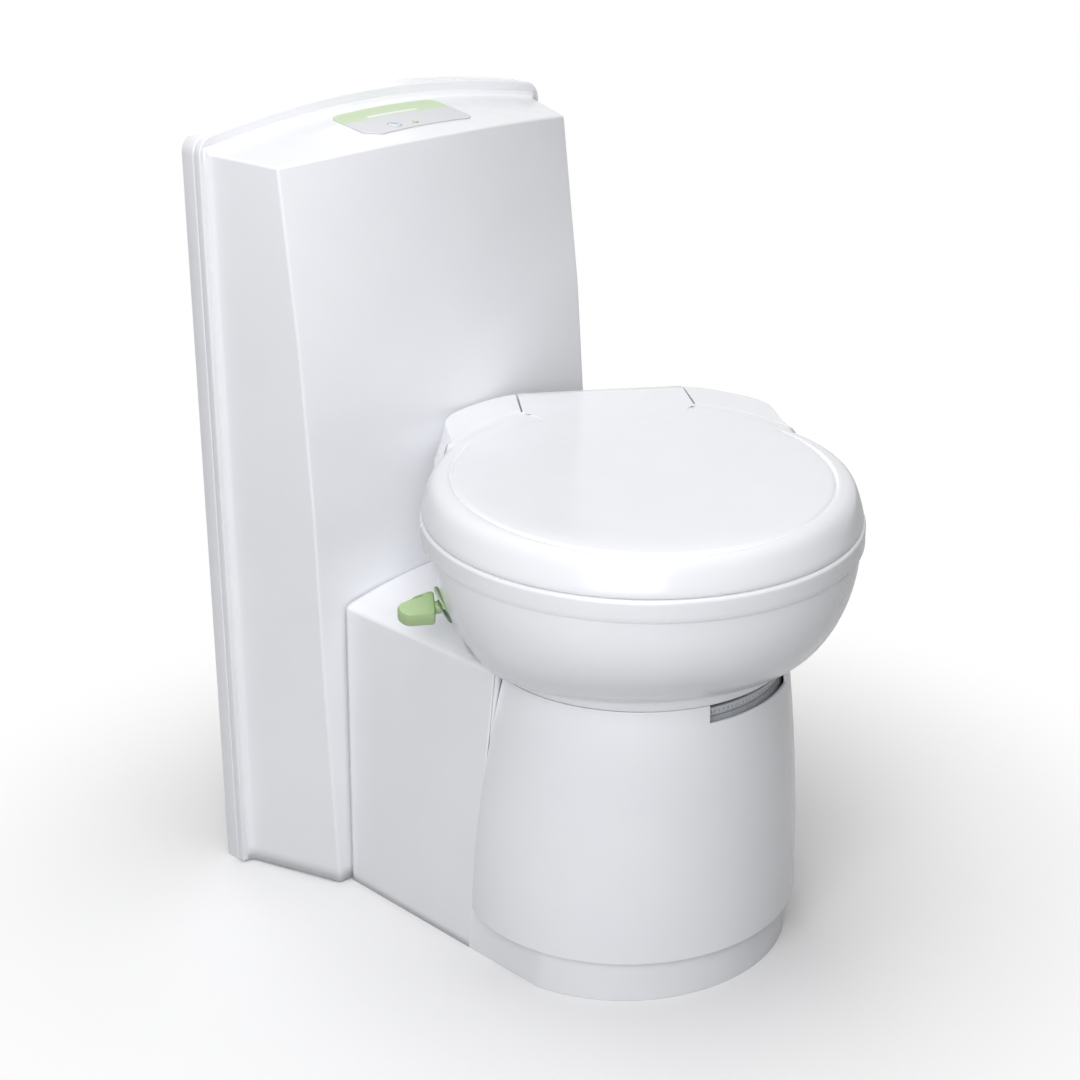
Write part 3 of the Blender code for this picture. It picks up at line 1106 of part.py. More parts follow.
join(tank, cylinder(NECK_RADIUS, (NECK_X, NECK_Y, BIN_TOP - TANK_WALL / 2),
                    (NECK_X, NECK_Y, NECK_TOP), 32), cassette_frame)
take(tank, cylinder(NECK_BORE, (NECK_X, NECK_Y, BIN_TOP - 2 * TANK_WALL),
                    (NECK_X, NECK_Y, NECK_TOP + OVERRUN), 32), cassette_frame)
take(tank, cylinder(TANK_INLET_RADIUS, (0.0, SPOUT_PITCH, BIN_TOP - 2 * TANK_WALL),
                    (0.0, SPOUT_PITCH, BIN_TOP + OVERRUN), 16), cassette_frame)
for side in (-1.0, 1.0):
    low, high = sorted((side * LUG_INNER, side * LUG_OUTER))
    join(tank, box((low, TANK_REAR_Y - TANK_WALL / 2, HANDLE_Z - LUG_HALF),
                   (high, HANDLE_Y + LUG_HALF, HANDLE_Z + LUG_HALF)), cassette_frame)
    take(tank, cylinder(HANDLE_TUBE + HANDLE_CLEAR, (low - OVERRUN, HANDLE_Y, HANDLE_Z),
                        (high + OVERRUN, HANDLE_Y, HANDLE_Z), 24), cassette_frame)
    low, high = sorted((side * (TANK_HALF_WIDTH - TANK_WALL / 2), side * WHEEL_OUTER_X))
    join(tank, cylinder(AXLE_RADIUS, (low, WHEEL_Y, WHEEL_Z), (high, WHEEL_Y, WHEEL_Z), 16),
         cassette_frame)
handle_path = [(-LUG_INNER, HANDLE_Y, HANDLE_Z), (-HANDLE_HALF - HANDLE_TUBE, HANDLE_Y, HANDLE_Z),
               (-HANDLE_HALF - HANDLE_TUBE, HANDLE_Y, HANDLE_Z - HANDLE_DROP),
               (HANDLE_HALF + HANDLE_TUBE, HANDLE_Y, HANDLE_Z - HANDLE_DROP),
               (HANDLE_HALF + HANDLE_TUBE, HANDLE_Y, HANDLE_Z), (LUG_INNER, HANDLE_Y, HANDLE_Z)]
put(tube(rounded(handle_path, HANDLE_BEND, 3), HANDLE_TUBE, 1), "container_handle",
    material("container_handle", (0.25, 0.26, 0.28), 0.45), handle_frame)
put(turned([(0.0, NECK_TOP + CAP_CLEAR), (NECK_RADIUS + CAP_CLEAR, NECK_TOP + CAP_CLEAR),
            (NECK_RADIUS + CAP_CLEAR, NECK_TOP - CAP_SKIRT), (CAP_RADIUS, NECK_TOP - CAP_SKIRT),
            (CAP_RADIUS, CAP_TOP), (0.0, CAP_TOP)], 32, NECK_X, NECK_Y),
    "tank_cap", material("tank_cap", (0.16, 0.3, 0.42), 0.4), cap_frame)
for side, name, frame in ((-1.0, "wheel_left", wheel_left_frame),
                          (1.0, "wheel_right", wheel_right_frame)):
    ends = ((side * WHEEL_INNER_X, WHEEL_Y, WHEEL_Z), (side * WHEEL_OUTER_X, WHEEL_Y, WHEEL_Z))
    wheel = put(cylinder(WHEEL_RADIUS, ends[0], ends[1]), name,
                material(name, (0.1, 0.1, 0.11), 0.6), frame)
    take(wheel, cylinder(AXLE_RADIUS + AXLE_CLEAR,
                         (side * (WHEEL_INNER_X - OVERRUN), WHEEL_Y, WHEEL_Z),
                         (side * (WHEEL_OUTER_X + OVERRUN), WHEEL_Y, WHEEL_Z), 16), frame)


# Bowl shell
def belly_ring(share, inset, height=None):
    side = 1 - (1 - share) ** BELLY_SIDE_POWER
    front = 1 - (1 - share) ** BELLY_FRONT_POWER
    half = BELLY_HALF_FOOT + (BELLY_HALF - BELLY_HALF_FOOT) * side
    length = BELLY_LENGTH_FOOT + (BELLY_LENGTH - BELLY_LENGTH_FOOT) * front
    centre = BELLY_CENTRE_FOOT + (BELLY_CENTRE - BELLY_CENTRE_FOOT) * front
    rear = BELLY_REAR_FOOT + (BELLY_REAR - BELLY_REAR_FOOT) * side + centre
    level = BELLY_FOOT + (BELLY_TOP - BELLY_FOOT) * share if height is None else height
    return oval(half - inset, length - inset, rear - inset, -centre, level)


def round_ring(radius, height):
    return oval(radius, radius, radius, 0.0, height)


def belly(inset, foot, top):
    rings = [round_ring(NECK_BAND_RADIUS - inset, foot),
             round_ring(NECK_BAND_RADIUS - inset, NECK_BAND_TOP + inset)]
    rings += [belly_ring(share, inset, max(BELLY_FOOT + (BELLY_TOP - BELLY_FOOT) * share,
                                           BELLY_FOOT + inset) if inset else None)
              for share in (INNER_LEVEL_SHARES if inset else BELLY_LEVEL_SHARES)]
    if top:
        rings.append(belly_ring(1.0, inset, BELLY_TOP + top))
    return loft(rings)


bowl_shell = put(belly(0.0, BOWL_FOOT, 0.0), "bowl_shell", white_gloss["bowl_shell"], bowl_frame)
take(bowl_shell, belly(BOWL_WALL, BOWL_FOOT + BASE_THICK, OVERRUN), bowl_frame)
take(bowl_shell, cylinder(BASE_BORE, (0.0, 0.0, BOWL_FOOT - OVERRUN),
                          (0.0, 0.0, BOWL_FOOT + 2 * BASE_THICK), ROUND_STEPS), bowl_frame)
take(bowl_shell, cylinder(SPOUT_RADIUS + SPOUT_CLEAR, (0.0, -SPOUT_PITCH, BOWL_FOOT - OVERRUN),
                          (0.0, -SPOUT_PITCH, BOWL_FOOT + 2 * BASE_THICK)), bowl_frame)
take(bowl_shell, cylinder(KNOB_SHAFT + SHAFT_CLEAR, (GEAR_PLATE_X, 0.0, KNOB_Z),
                          (KNOB_COLLAR_X, 0.0, KNOB_Z), 16), bowl_frame)
take(bowl_shell, cylinder(ROSE_RADIUS + GAP, (ROSE_INNER_X + GAP, 0.0, KNOB_Z),
                          (KNOB_INNER_X - ROSE_RADIUS, 0.0, KNOB_Z), 32), bowl_frame)


# Diverting insert
def insert_ring(half_width, length, centre_y, height, grow):
    return oval(half_width + grow, length + grow, length + grow, centre_y, height, INSERT_STEPS)


def insert_funnel(grow, top, foot_extra):
    foot = FRAME_BOTTOM + FRAME_THICK + GAP - foot_extra
    return loft([insert_ring(SOLIDS_FOOT_RADIUS, SOLIDS_FOOT_RADIUS, SOLIDS_Y, foot, grow),
                 insert_ring(SOLIDS_MID_RADIUS, SOLIDS_MID_RADIUS, SOLIDS_Y, SOLIDS_MID, grow),
                 insert_ring(SOLIDS_UPPER_RADIUS, SOLIDS_UPPER_RADIUS, SOLIDS_Y, SOLIDS_UPPER, grow),
                 insert_ring(SOLIDS_MOUTH_HALF, SOLIDS_MOUTH_LENGTH, SOLIDS_MOUTH_Y, top, grow)])


def insert_basin(grow, top):
    return loft([insert_ring(BASIN_FOOT_HALF, BASIN_FOOT_LENGTH, -SPOUT_PITCH, BASIN_FOOT - grow, grow),
                 insert_ring(BASIN_MID_HALF, BASIN_MID_LENGTH, BASIN_MID_Y, BASIN_MID, grow),
                 insert_ring(BASIN_MOUTH_HALF, BASIN_MOUTH_LENGTH, BASIN_MOUTH_Y, top, grow)])


insert_top = BELLY_TOP - GAP
insert_low = insert_top - INSERT_FLANGE_THICK
insert = put(loft([belly_ring(1.0, INSERT_EDGE, insert_low), belly_ring(1.0, INSERT_EDGE, insert_top)]),
             "bowl_insert", white_gloss["bowl_insert"], bowl_frame)
join(insert, insert_funnel(INSERT_WALL, insert_top - INSERT_FLANGE_THICK / 2, 0.0), bowl_frame)
join(insert, insert_basin(INSERT_WALL, insert_top - INSERT_FLANGE_THICK / 2), bowl_frame)
join(insert, cylinder(SPOUT_RADIUS, (0.0, -SPOUT_PITCH, SPOUT_FOOT),
                      (0.0, -SPOUT_PITCH, BASIN_FOOT - INSERT_WALL / 2)), bowl_frame)
take(insert, insert_funnel(0.0, insert_top + OVERRUN, OVERRUN), bowl_frame)
take(insert, insert_basin(0.0, insert_top + OVERRUN), bowl_frame)
take(insert, cylinder(SPOUT_BORE, (0.0, -SPOUT_PITCH, SPOUT_FOOT - OVERRUN),
                      (0.0, -SPOUT_PITCH, BASIN_FOOT + OVERRUN), 16), bowl_frame)
for side in (-1.0, 1.0):
    take(insert, cylinder(SEAT_PIN_RADIUS + GAP,
                          (side * SEAT_PIN_X, SEAT_PIN_Y, insert_low - OVERRUN),
                          (side * SEAT_PIN_X, SEAT_PIN_Y, insert_top + OVERRUN), 16), bowl_frame)
grate = put(cylinder(GRATE_RADIUS, (0.0, -SPOUT_PITCH, BASIN_FOOT + GAP),
                     (0.0, -SPOUT_PITCH, BASIN_FOOT + GAP + GRATE_THICK)), "drain_grate",
            material("drain_grate", (0.7, 0.71, 0.72), 0.25, 0.9), bowl_frame)
for step in range(GRATE_COUNT):
    angle = math.tau * step / GRATE_COUNT
    x, y = GRATE_PITCH * math.sin(angle), -SPOUT_PITCH + GRATE_PITCH * math.cos(angle)
    take(grate, cylinder(GRATE_HOLE, (x, y, BASIN_FOOT - OVERRUN),
                         (x, y, BASIN_FOOT + GRATE_THICK + OVERRUN), 8), bowl_frame)

# Valve frame, flap, shafts, gears and knob
frame_top = FRAME_BOTTOM + FRAME_THICK
frame = put(turned([(0.0, FRAME_BOTTOM), (FRAME_RADIUS, FRAME_BOTTOM), (FRAME_RADIUS, frame_top),
                    (0.0, frame_top)]), "valve_frame",
            material("valve_frame", (0.4, 0.41, 0.43), 0.45), bowl_frame)
take(frame, cylinder(SOLIDS_FOOT_RADIUS, (0.0, SOLIDS_Y, FRAME_BOTTOM - OVERRUN),
                     (0.0, SOLIDS_Y, frame_top + OVERRUN), ROUND_STEPS), bowl_frame)
take(frame, cylinder(SPOUT_RADIUS + SPOUT_CLEAR, (0.0, -SPOUT_PITCH, FRAME_BOTTOM - OVERRUN),
                     (0.0, -SPOUT_PITCH, frame_top + OVERRUN)), bowl_frame)
gear_distance = math.hypot(FLAP_AXIS_Y, KNOB_Z - FLAP_AXIS_Z)
pitch_radius = gear_distance / 2
gear_module = 2 * pitch_radius / GEAR_TEETH
gear_tip = pitch_radius + ADDENDUM_SHARE * gear_module
take(frame, box((GEAR_X0 - FRAME_THICK, FLAP_AXIS_Y - gear_tip - OVERRUN, FRAME_BOTTOM - OVERRUN),
                (GEAR_X1 + FRAME_THICK, FLAP_AXIS_Y + gear_tip + OVERRUN, frame_top + OVERRUN)),
     bowl_frame)
for low in (LUG_X, -LUG_X - LUG_THICK):
    join(frame, box((low, FLAP_AXIS_Y - FRAME_LUG_HALF, FLAP_AXIS_Z - FRAME_LUG_HALF),
                    (low + LUG_THICK, FLAP_AXIS_Y + FRAME_LUG_HALF, frame_top)), bowl_frame)
join(frame, box((GEAR_PLATE_X - LUG_THICK, -FRAME_LUG_HALF, FRAME_BOTTOM),
                (GEAR_PLATE_X, FRAME_LUG_HALF, KNOB_Z + FRAME_LUG_HALF)), bowl_frame)
take(frame, cylinder(FLAP_SHAFT + SHAFT_CLEAR, (-LUG_X - 2 * LUG_THICK, FLAP_AXIS_Y, FLAP_AXIS_Z),
                     (LUG_X + 2 * LUG_THICK, FLAP_AXIS_Y, FLAP_AXIS_Z), 16), bowl_frame)
take(frame, cylinder(KNOB_SHAFT + SHAFT_CLEAR, (GEAR_PLATE_X - 2 * LUG_THICK, 0.0, KNOB_Z),
                     (GEAR_PLATE_X + LUG_THICK, 0.0, KNOB_Z), 16), bowl_frame)
flap_top = FRAME_BOTTOM - GAP
flap = put(cylinder(FLAP_RADIUS, (0.0, SOLIDS_Y, flap_top - FLAP_THICK),
                    (0.0, SOLIDS_Y, flap_top), 48), "solids_flap",
           material("solids_flap", (0.5, 0.52, 0.54), 0.35), flap_frame)
join(flap, box((-FLAP_HUB_HALF, FLAP_AXIS_Y, flap_top - FLAP_THICK),
               (FLAP_HUB_HALF, SOLIDS_Y - FLAP_RADIUS / 2, flap_top)), flap_frame)
join(flap, cylinder(FLAP_HUB, (-FLAP_HUB_HALF, FLAP_AXIS_Y, FLAP_AXIS_Z),
                    (FLAP_HUB_HALF, FLAP_AXIS_Y, FLAP_AXIS_Z)), flap_frame)
take(flap, cylinder(FLAP_SHAFT + SHAFT_CLEAR / 2, (-FLAP_HUB_HALF - OVERRUN, FLAP_AXIS_Y, FLAP_AXIS_Z),
                    (FLAP_HUB_HALF + OVERRUN, FLAP_AXIS_Y, FLAP_AXIS_Z), 16), flap_frame)
put(cylinder(FLAP_SHAFT, (GEAR_X0, FLAP_AXIS_Y, FLAP_AXIS_Z),
             (FLAP_SHAFT_END, FLAP_AXIS_Y, FLAP_AXIS_Z), 16), "flap_shaft",
    material("flap_shaft", (0.7, 0.71, 0.72), 0.3, 1.0), flap_frame)


def involute_outline(first_angle):
    """Outline of a spur gear with involute flanks, a tooth centred on the first angle."""
    base = pitch_radius * math.cos(PRESSURE_ANGLE)
    root = pitch_radius - DEDENDUM_SHARE * gear_module
    roll = math.tan(PRESSURE_ANGLE) - PRESSURE_ANGLE
    half_tooth = math.pi / (2 * GEAR_TEETH) * (1 - GEAR_BACKLASH_SHARE) + roll
    flank = []
    for step in range(3):
        radius = base + (gear_tip - base) * step / 2
        turn = math.acos(min(1.0, base / radius))
        flank.append((radius, half_tooth - (math.tan(turn) - turn)))
    flank.insert(0, (root, half_tooth))
    outline = []
    for tooth in range(GEAR_TEETH):
        middle = first_angle + math.tau * tooth / GEAR_TEETH
        outline += [(radius, middle - angle) for radius, angle in flank]
        outline += [(radius, middle + angle) for radius, angle in reversed(flank)]
    return [(radius * math.cos(angle), radius * math.sin(angle)) for radius, angle in outline]


line_angle = math.atan2(FLAP_AXIS_Z - KNOB_Z, FLAP_AXIS_Y)
upper_gear = [(y, z + KNOB_Z) for y, z in involute_outline(line_angle)]
lower_gear = [(y + FLAP_AXIS_Y, z + FLAP_AXIS_Z)
              for y, z in involute_outline(line_angle + math.pi + math.pi / GEAR_TEETH)]
put(flat([lower_gear, circle(FLAP_SHAFT + SHAFT_CLEAR / 2, (FLAP_AXIS_Y, FLAP_AXIS_Z), 16)],
         GEAR_X0, GEAR_X1, "X"), "flap_gear", material("flap_gear", (0.85, 0.84, 0.78), 0.4),
    flap_frame)
put(flat([upper_gear, circle(KNOB_SHAFT + SHAFT_CLEAR / 2, (0.0, KNOB_Z), 16)],
         GEAR_X0, GEAR_X1, "X"), "knob_gear", material("knob_gear", (0.85, 0.84, 0.78), 0.4),
    knob_frame)
put(cylinder(KNOB_SHAFT, (GEAR_PLATE_X, 0.0, KNOB_Z), (KNOB_COLLAR_X, 0.0, KNOB_Z), 16),
    "knob_shaft", material("knob_shaft", (0.7, 0.71, 0.72), 0.3, 1.0), knob_frame)
rose = put(cylinder(ROSE_RADIUS, (ROSE_INNER_X, 0.0, KNOB_Z), (ROSE_OUTER_X, 0.0, KNOB_Z), 32),
           "knob_rose", material("knob_rose", (0.45, 0.58, 0.34), 0.35), bowl_frame)
take(rose, cylinder(KNOB_SHAFT + SHAFT_CLEAR, (ROSE_INNER_X + OVERRUN, 0.0, KNOB_Z),
                    (ROSE_OUTER_X - OVERRUN, 0.0, KNOB_Z), 16), bowl_frame)
paddle = flat([[(x, KNOB_Z + rise) for x, rise in reversed(KNOB_POINTS)]], -KNOB_HALF_THICK,
              KNOB_HALF_THICK, "Y")
bmesh.ops.rotate(paddle, verts=paddle.verts, cent=(0.0, 0.0, KNOB_Z),
                 matrix=Matrix.Rotation(-KNOB_TILT, 3, "X"))
knob = put(paddle, "valve_knob", material("valve_knob", (0.42, 0.55, 0.33), 0.35), knob_frame)
edge = knob.modifiers.new("edges", "BEVEL")
edge.width = KNOB_BEVEL
edge.segments = 2
edge.limit_method = "ANGLE"
join(knob, cylinder(KNOB_COLLAR, (KNOB_COLLAR_X - KNOB_BEVEL, 0.0, KNOB_Z),
                    (KNOB_INNER_X, 0.0, KNOB_Z)), knob_frame)
take(knob, cylinder(KNOB_SHAFT + SHAFT_CLEAR / 2, (KNOB_COLLAR_X - GAP, 0.0, KNOB_Z),
                    (KNOB_INNER_X + OVERRUN, 0.0, KNOB_Z), 16), knob_frame)


# Seat
def seat_ring_at(share, height):
    """Between the outer outline (0) and the opening (1)."""
    half = SEAT_HALF + (SEAT_OPEN_HALF - SEAT_HALF) * share
    length = SEAT_LENGTH + (SEAT_OPEN_LENGTH - SEAT_LENGTH) * share
    centre = RIM_CENTRE + (SEAT_OPEN_CENTRE - RIM_CENTRE) * share
    return oval(half, length, length, -centre, height)


seat_span = SEAT_HALF - SEAT_OPEN_HALF
edge_share = SEAT_EDGE / seat_span
seat = put(loft([seat_ring_at(0.0, SEAT_BOTTOM), seat_ring_at(0.0, SEAT_TOP),
                 seat_ring_at(1 - edge_share * 2, SEAT_TOP),
                 seat_ring_at(1 - edge_share, SEAT_TOP - SEAT_EDGE / 3),
                 seat_ring_at(1.0, SEAT_TOP - SEAT_EDGE),
                 seat_ring_at(1.0, SEAT_BOTTOM + SEAT_EDGE / 3),
                 seat_ring_at(1 - edge_share / 2, SEAT_BOTTOM)], True),
           "seat_ring", white_gloss["seat_ring"], seat_frame)
for side in (-1.0, 1.0):
    join(seat, cylinder(SEAT_PIN_RADIUS, (side * SEAT_PIN_X, SEAT_PIN_Y, SEAT_BOTTOM - SEAT_PIN_LENGTH),
                        (side * SEAT_PIN_X, SEAT_PIN_Y, SEAT_BOTTOM + OVERRUN), 16), seat_frame)


# Lid
def lid_ring(level, inset):
    return oval(RIM_HALF - inset, RIM_LENGTH - inset, RIM_LENGTH - inset, -RIM_CENTRE, level)


def rim_arc(side, inset):
    """The lid's rim behind its corners' front, from the tongue forwards, inset by this much."""
    half, length = RIM_HALF - inset, RIM_LENGTH - inset
    rear = math.asin(WING_INNER_X / half)
    front = math.acos((CORNER_FRONT_Y - inset / 2 + RIM_CENTRE) / length)
    arc = []
    for step in range(CORNER_STEPS + 1):
        angle = rear + (front - rear) * step / CORNER_STEPS
        arc.append((side * half * math.sin(angle), length * math.cos(angle) - RIM_CENTRE))
    return arc


def corner_outline(side, inset, inner_x):
    """Everything that lies beside the tongue and outside the inset rim."""
    arc = rim_arc(side, inset)
    arc[0] = (side * inner_x, arc[0][1])
    return arc + [(side * PLATE_HALF_WIDTH, arc[-1][1]), (side * PLATE_HALF_WIDTH, BACK_Y),
                  (side * inner_x, BACK_Y)]


lid_rings = [lid_ring(level, inset) for level, inset in zip(LID_LEVELS, LID_INSETS)]
crown = [(x * (1 - LID_CROWN_SHARE), y * (1 - LID_CROWN_SHARE), LID_CROWN)
         for x, y, z in lid_ring(LID_CROWN, LID_INSETS[-1])]
lid = put(loft(lid_rings + [crown]), "lid_shell", white_gloss["lid_shell"], lid_frame)
for side in (-1.0, 1.0):
    fill = rim_arc(side, CORNER_INSET) + list(reversed(rim_arc(side, CORNER_FILL)))
    join(lid, flat([fill], CORNER_LOW, CORNER_TOP), lid_frame)
    take(lid, flat([corner_outline(side, CORNER_INSET, WING_INNER_X)], LID_BOTTOM - OVERRUN,
                   LID_CROWN + OVERRUN), lid_frame)
tongue = put(box((-TONGUE_HALF, TONGUE_FRONT_Y, TONGUE_BOTTOM),
                 (TONGUE_HALF, TONGUE_REAR_Y, TONGUE_TOP)), "lid_tongue", None, lid_frame, True)
soft = tongue.modifiers.new("edges", "BEVEL")
soft.width = TONGUE_ROUND
soft.segments = 2
soft.limit_method = "ANGLE"
combine(lid, tongue, "UNION")
hollow_levels = [LID_BOTTOM - OVERRUN] + LID_LEVELS[1:5]
hollow = [lid_ring(level, inset + LID_WALL)
          for level, inset in zip(hollow_levels, [LID_INSETS[0]] + LID_INSETS[1:5])]
hollow = take(lid, loft(hollow + [lid_ring(LID_LEVELS[5] - GAP, LID_INSETS[5] + LID_WALL)]),
              lid_frame)
for side in (-1.0, 1.0):
    take(hollow, flat([corner_outline(side, CORNER_INSET + LID_WALL, WING_INNER_X - LID_WALL)],
                      LID_BOTTOM - 2 * OVERRUN, LID_CROWN + OVERRUN), lid_frame)
join(lid, cylinder(HINGE_BARREL, (-TONGUE_REAR_HALF, HINGE_Y, HINGE_Z),
                   (TONGUE_REAR_HALF, HINGE_Y, HINGE_Z), 32), lid_frame)
take(lid, box((-RIM_HALF, LID_RELIEF_Y, LID_BOTTOM - OVERRUN),
              (RIM_HALF, HINGE_Y - HINGE_BARREL - GAP, LID_RELIEF_Z)), lid_frame)
take(lid, cylinder(HINGE_PIN + SHAFT_CLEAR, (-TONGUE_HALF - OVERRUN, HINGE_Y, HINGE_Z),
                   (TONGUE_HALF + OVERRUN, HINGE_Y, HINGE_Z), 16), lid_frame)
for side in (-1.0, 1.0):
    low, high = sorted((side * TONGUE_REAR_HALF, side * (TONGUE_HALF + OVERRUN)))
    take(lid, box((low, TONGUE_SLOT_Y, TONGUE_BOTTOM - OVERRUN),
                  (high, TONGUE_REAR_Y + OVERRUN, TONGUE_TOP + OVERRUN)), lid_frame)
put(cylinder(HINGE_PIN, (-HINGE_PIN_HALF, HINGE_Y, HINGE_Z), (HINGE_PIN_HALF, HINGE_Y, HINGE_Z), 16),
    "hinge_pin", material("hinge_pin", (0.75, 0.76, 0.77), 0.25, 1.0), seat_frame)

# Hinge wings beside the lid's tongue
for side, name in ((-1.0, "hinge_wing_left"), (1.0, "hinge_wing_right")):
    foot_ring = [(side * x, y, LID_BOTTOM) for x, y in WING_FOOT_POINTS]
    top_ring = [(side * x, y, WING_TOP - WING_SIDE_DROP * (x / WING_DROP_HALF) ** 2)
                for x, y in WING_TOP_POINTS]
    wing = put(loft([foot_ring, top_ring]), name, white_gloss[name], seat_frame)
    take(wing, loft([lid_ring(LID_BOTTOM - OVERRUN, CORNER_INSET - WING_SEAM),
                     lid_ring(LID_CROWN + OVERRUN, CORNER_INSET - WING_SEAM)]), seat_frame)
    low, high = sorted((0.0, side * WING_INNER_X))
    take(wing, box((low, 0.0, LID_BOTTOM - OVERRUN), (high, PLATE_HALF_WIDTH * 2, LID_CROWN * 2)),
         seat_frame)
    low, high = sorted((0.0, side * WING_SLOT_X))
    take(wing, box((low, TONGUE_SLOT_Y, LID_BOTTOM - OVERRUN),
                   (high, PLATE_HALF_WIDTH * 2, LID_CROWN * 2)), seat_frame)
    take(wing, cylinder(HINGE_PIN + SHAFT_CLEAR / 2, (0.0, HINGE_Y, HINGE_Z),
                        (side * (HINGE_PIN_HALF + OVERRUN), HINGE_Y, HINGE_Z), 16), seat_frame)
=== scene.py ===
"""Looks of a urine-diverting toilet: a bowl that swivels on a console, dressed over its CAD model.

The CAD model's frame is kept: metres, +Z up, the floor at z = 0, the swivel axis at the origin
and the console's back towards +Y. Shapes are worked out in millimetres and become metres as
each mesh is made. Those of the bowl, seat and lid are worked out in the bowl's own frame, whose
front is towards -Y, and are then turned about the swivel axis.
"""
import math

import bmesh
import bpy
import numpy as np
from mathutils import Matrix, Vector


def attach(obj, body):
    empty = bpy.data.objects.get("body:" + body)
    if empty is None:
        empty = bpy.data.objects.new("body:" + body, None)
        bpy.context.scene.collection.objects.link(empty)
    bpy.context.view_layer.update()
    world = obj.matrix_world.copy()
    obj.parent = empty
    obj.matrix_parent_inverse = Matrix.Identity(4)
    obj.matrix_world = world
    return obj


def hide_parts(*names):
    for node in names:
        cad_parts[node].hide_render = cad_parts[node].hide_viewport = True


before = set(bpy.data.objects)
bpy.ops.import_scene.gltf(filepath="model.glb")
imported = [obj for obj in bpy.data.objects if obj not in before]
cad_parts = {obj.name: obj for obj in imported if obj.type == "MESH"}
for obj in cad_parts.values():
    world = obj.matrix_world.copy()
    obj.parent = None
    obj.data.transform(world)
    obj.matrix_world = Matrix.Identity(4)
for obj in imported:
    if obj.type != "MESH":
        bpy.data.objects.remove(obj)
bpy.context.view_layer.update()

MM = 0.001
BOWL_TURN = math.radians(-36)
WALL = 3.0
WHITE = (1.0, 1.0, 1.0, 1.0)


# Small tools for nodes and colours
def linear(code):
    """An sRGB hex colour as the linear colour that the shader wants."""
    shares = [int(code[place:place + 2], 16) / 255 for place in (1, 3, 5)]
    return (*[share / 12.92 if share <= 0.04045 else ((share + 0.055) / 1.055) ** 2.4
              for share in shares], 1.0)


def add(tree, kind, inputs=None, **settings):
    """Add a node with its settings; each input gets its value or what feeds it.

    A node stands for its first output in use.
    """
    node = tree.nodes.new(kind)
    for name, value in settings.items():
        setattr(node, name, value)
    for socket, value in (inputs or {}).items():
        if isinstance(value, bpy.types.Node):
            value = next(output for output in value.outputs if output.enabled)
        if isinstance(value, bpy.types.NodeSocket):
            tree.links.new(value, node.inputs[socket])
        else:
            node.inputs[socket].default_value = value
    return node


def new_material(name):
    """A new material with its tree, its shader and its Object coordinates."""
    made = bpy.data.materials.new(name)
    made.use_nodes = True
    tree = made.node_tree
    place = add(tree, "ShaderNodeTexCoord").outputs["Object"]
    return made, tree, tree.nodes["Principled BSDF"], place


def dress(tree, shader, colour, uneven, gloss, grain, relief, spread=(0.0, 1.0)):
    """Link a colour, a roughness that follows one texture and a bump that follows another.

    gloss holds the least and most roughness, relief the bump's strength and its height in
    millimetres, and spread the part of the first texture's range that is used.
    """
    rough = add(tree, "ShaderNodeMapRange", {"From Min": spread[0], "From Max": spread[1],
                                             "To Min": gloss[0], "To Max": gloss[1],
                                             "Value": uneven})
    bump = add(tree, "ShaderNodeBump", {"Strength": relief[0], "Distance": relief[1] * MM,
                                        "Height": grain})
    tree.links.new(colour.outputs["Result"], shader.inputs["Base Color"])
    tree.links.new(rough.outputs["Result"], shader.inputs["Roughness"])
    tree.links.new(bump.outputs["Normal"], shader.inputs["Normal"])
    return rough


def moulded(name, colour, tint, gloss, size, peel=0.02, patch=90.0):
    """Moulded plastic: faint patches in the colour, uneven gloss and a fine moulded grain.

    The sizes are in millimetres: width of the grain, height of the grain, width of the patches.
    """
    made, tree, shader, place = new_material(name)
    patches, smears, grain = [
        add(tree, "ShaderNodeTexNoise", {"Scale": 1 / (width * MM), "Detail": detail,
                                         "Vector": place})
        for width, detail in ((patch, 2.0), (patch * 0.2, 4.0), (size, 2.0))]
    colours = add(tree, "ShaderNodeMix", {"A": linear(colour), "B": linear(tint),
                                          "Factor": patches}, data_type="RGBA")
    dress(tree, shader, colours, smears, gloss, grain, (0.6, peel), (0.3, 0.7))
    return made


# Materials, each for what the real one is
# Gloss-moulded white ABS: an even, slightly cool white with soft reflections
white_abs = moulded("gloss_white_abs", "#F4F5F8", "#EEEFF3", (0.16, 0.24), 2.6, 0.012)
# The same white with a finer, flatter finish, as on the seat that skin touches
seat_abs = moulded("satin_white_seat", "#F1F2F5", "#EBECF0", (0.2, 0.28), 1.8, 0.01)
# White polypropylene inside the bowl: dulled by cleaning
bowl_pp = moulded("white_bowl_polypropylene", "#F0F1F2", "#E6E8EA", (0.24, 0.36), 1.6, 0.02, 60.0)
# Light grey acetal of the turntable: matt where it slides
ring_pom = moulded("grey_turntable_acetal", "#C9CCCF", "#BEC1C5", (0.32, 0.45), 0.8, 0.03, 30.0)
# Green satin ABS of the knob: pale, yellowish green, a little uneven from the mould
knob_abs = moulded("pale_green_knob_abs", "#B2CB98", "#A6C08B", (0.34, 0.46), 0.9, 0.03, 12.0)
# Grey-green satin ABS of the thin disc behind the knob, darker than the knob: partly painted shade
# for the slit under it
shield_abs_with_painted_shade = moulded("grey_green_shield_disc_painted_shade", "#8FA38C", "#7F947C", (0.34, 0.46), 0.9, 0.03, 12.0)
# Dark glass-filled nylon: structural parts that stay out of sight
dark_nylon = moulded("dark_glass_nylon", "#33363A", "#3D4044", (0.45, 0.62), 0.7, 0.05, 25.0)
# Mid grey polypropylene: tray, valve frame and flap
grey_pp = moulded("grey_polypropylene", "#8C9196", "#7E8389", (0.35, 0.5), 1.1, 0.03, 40.0)
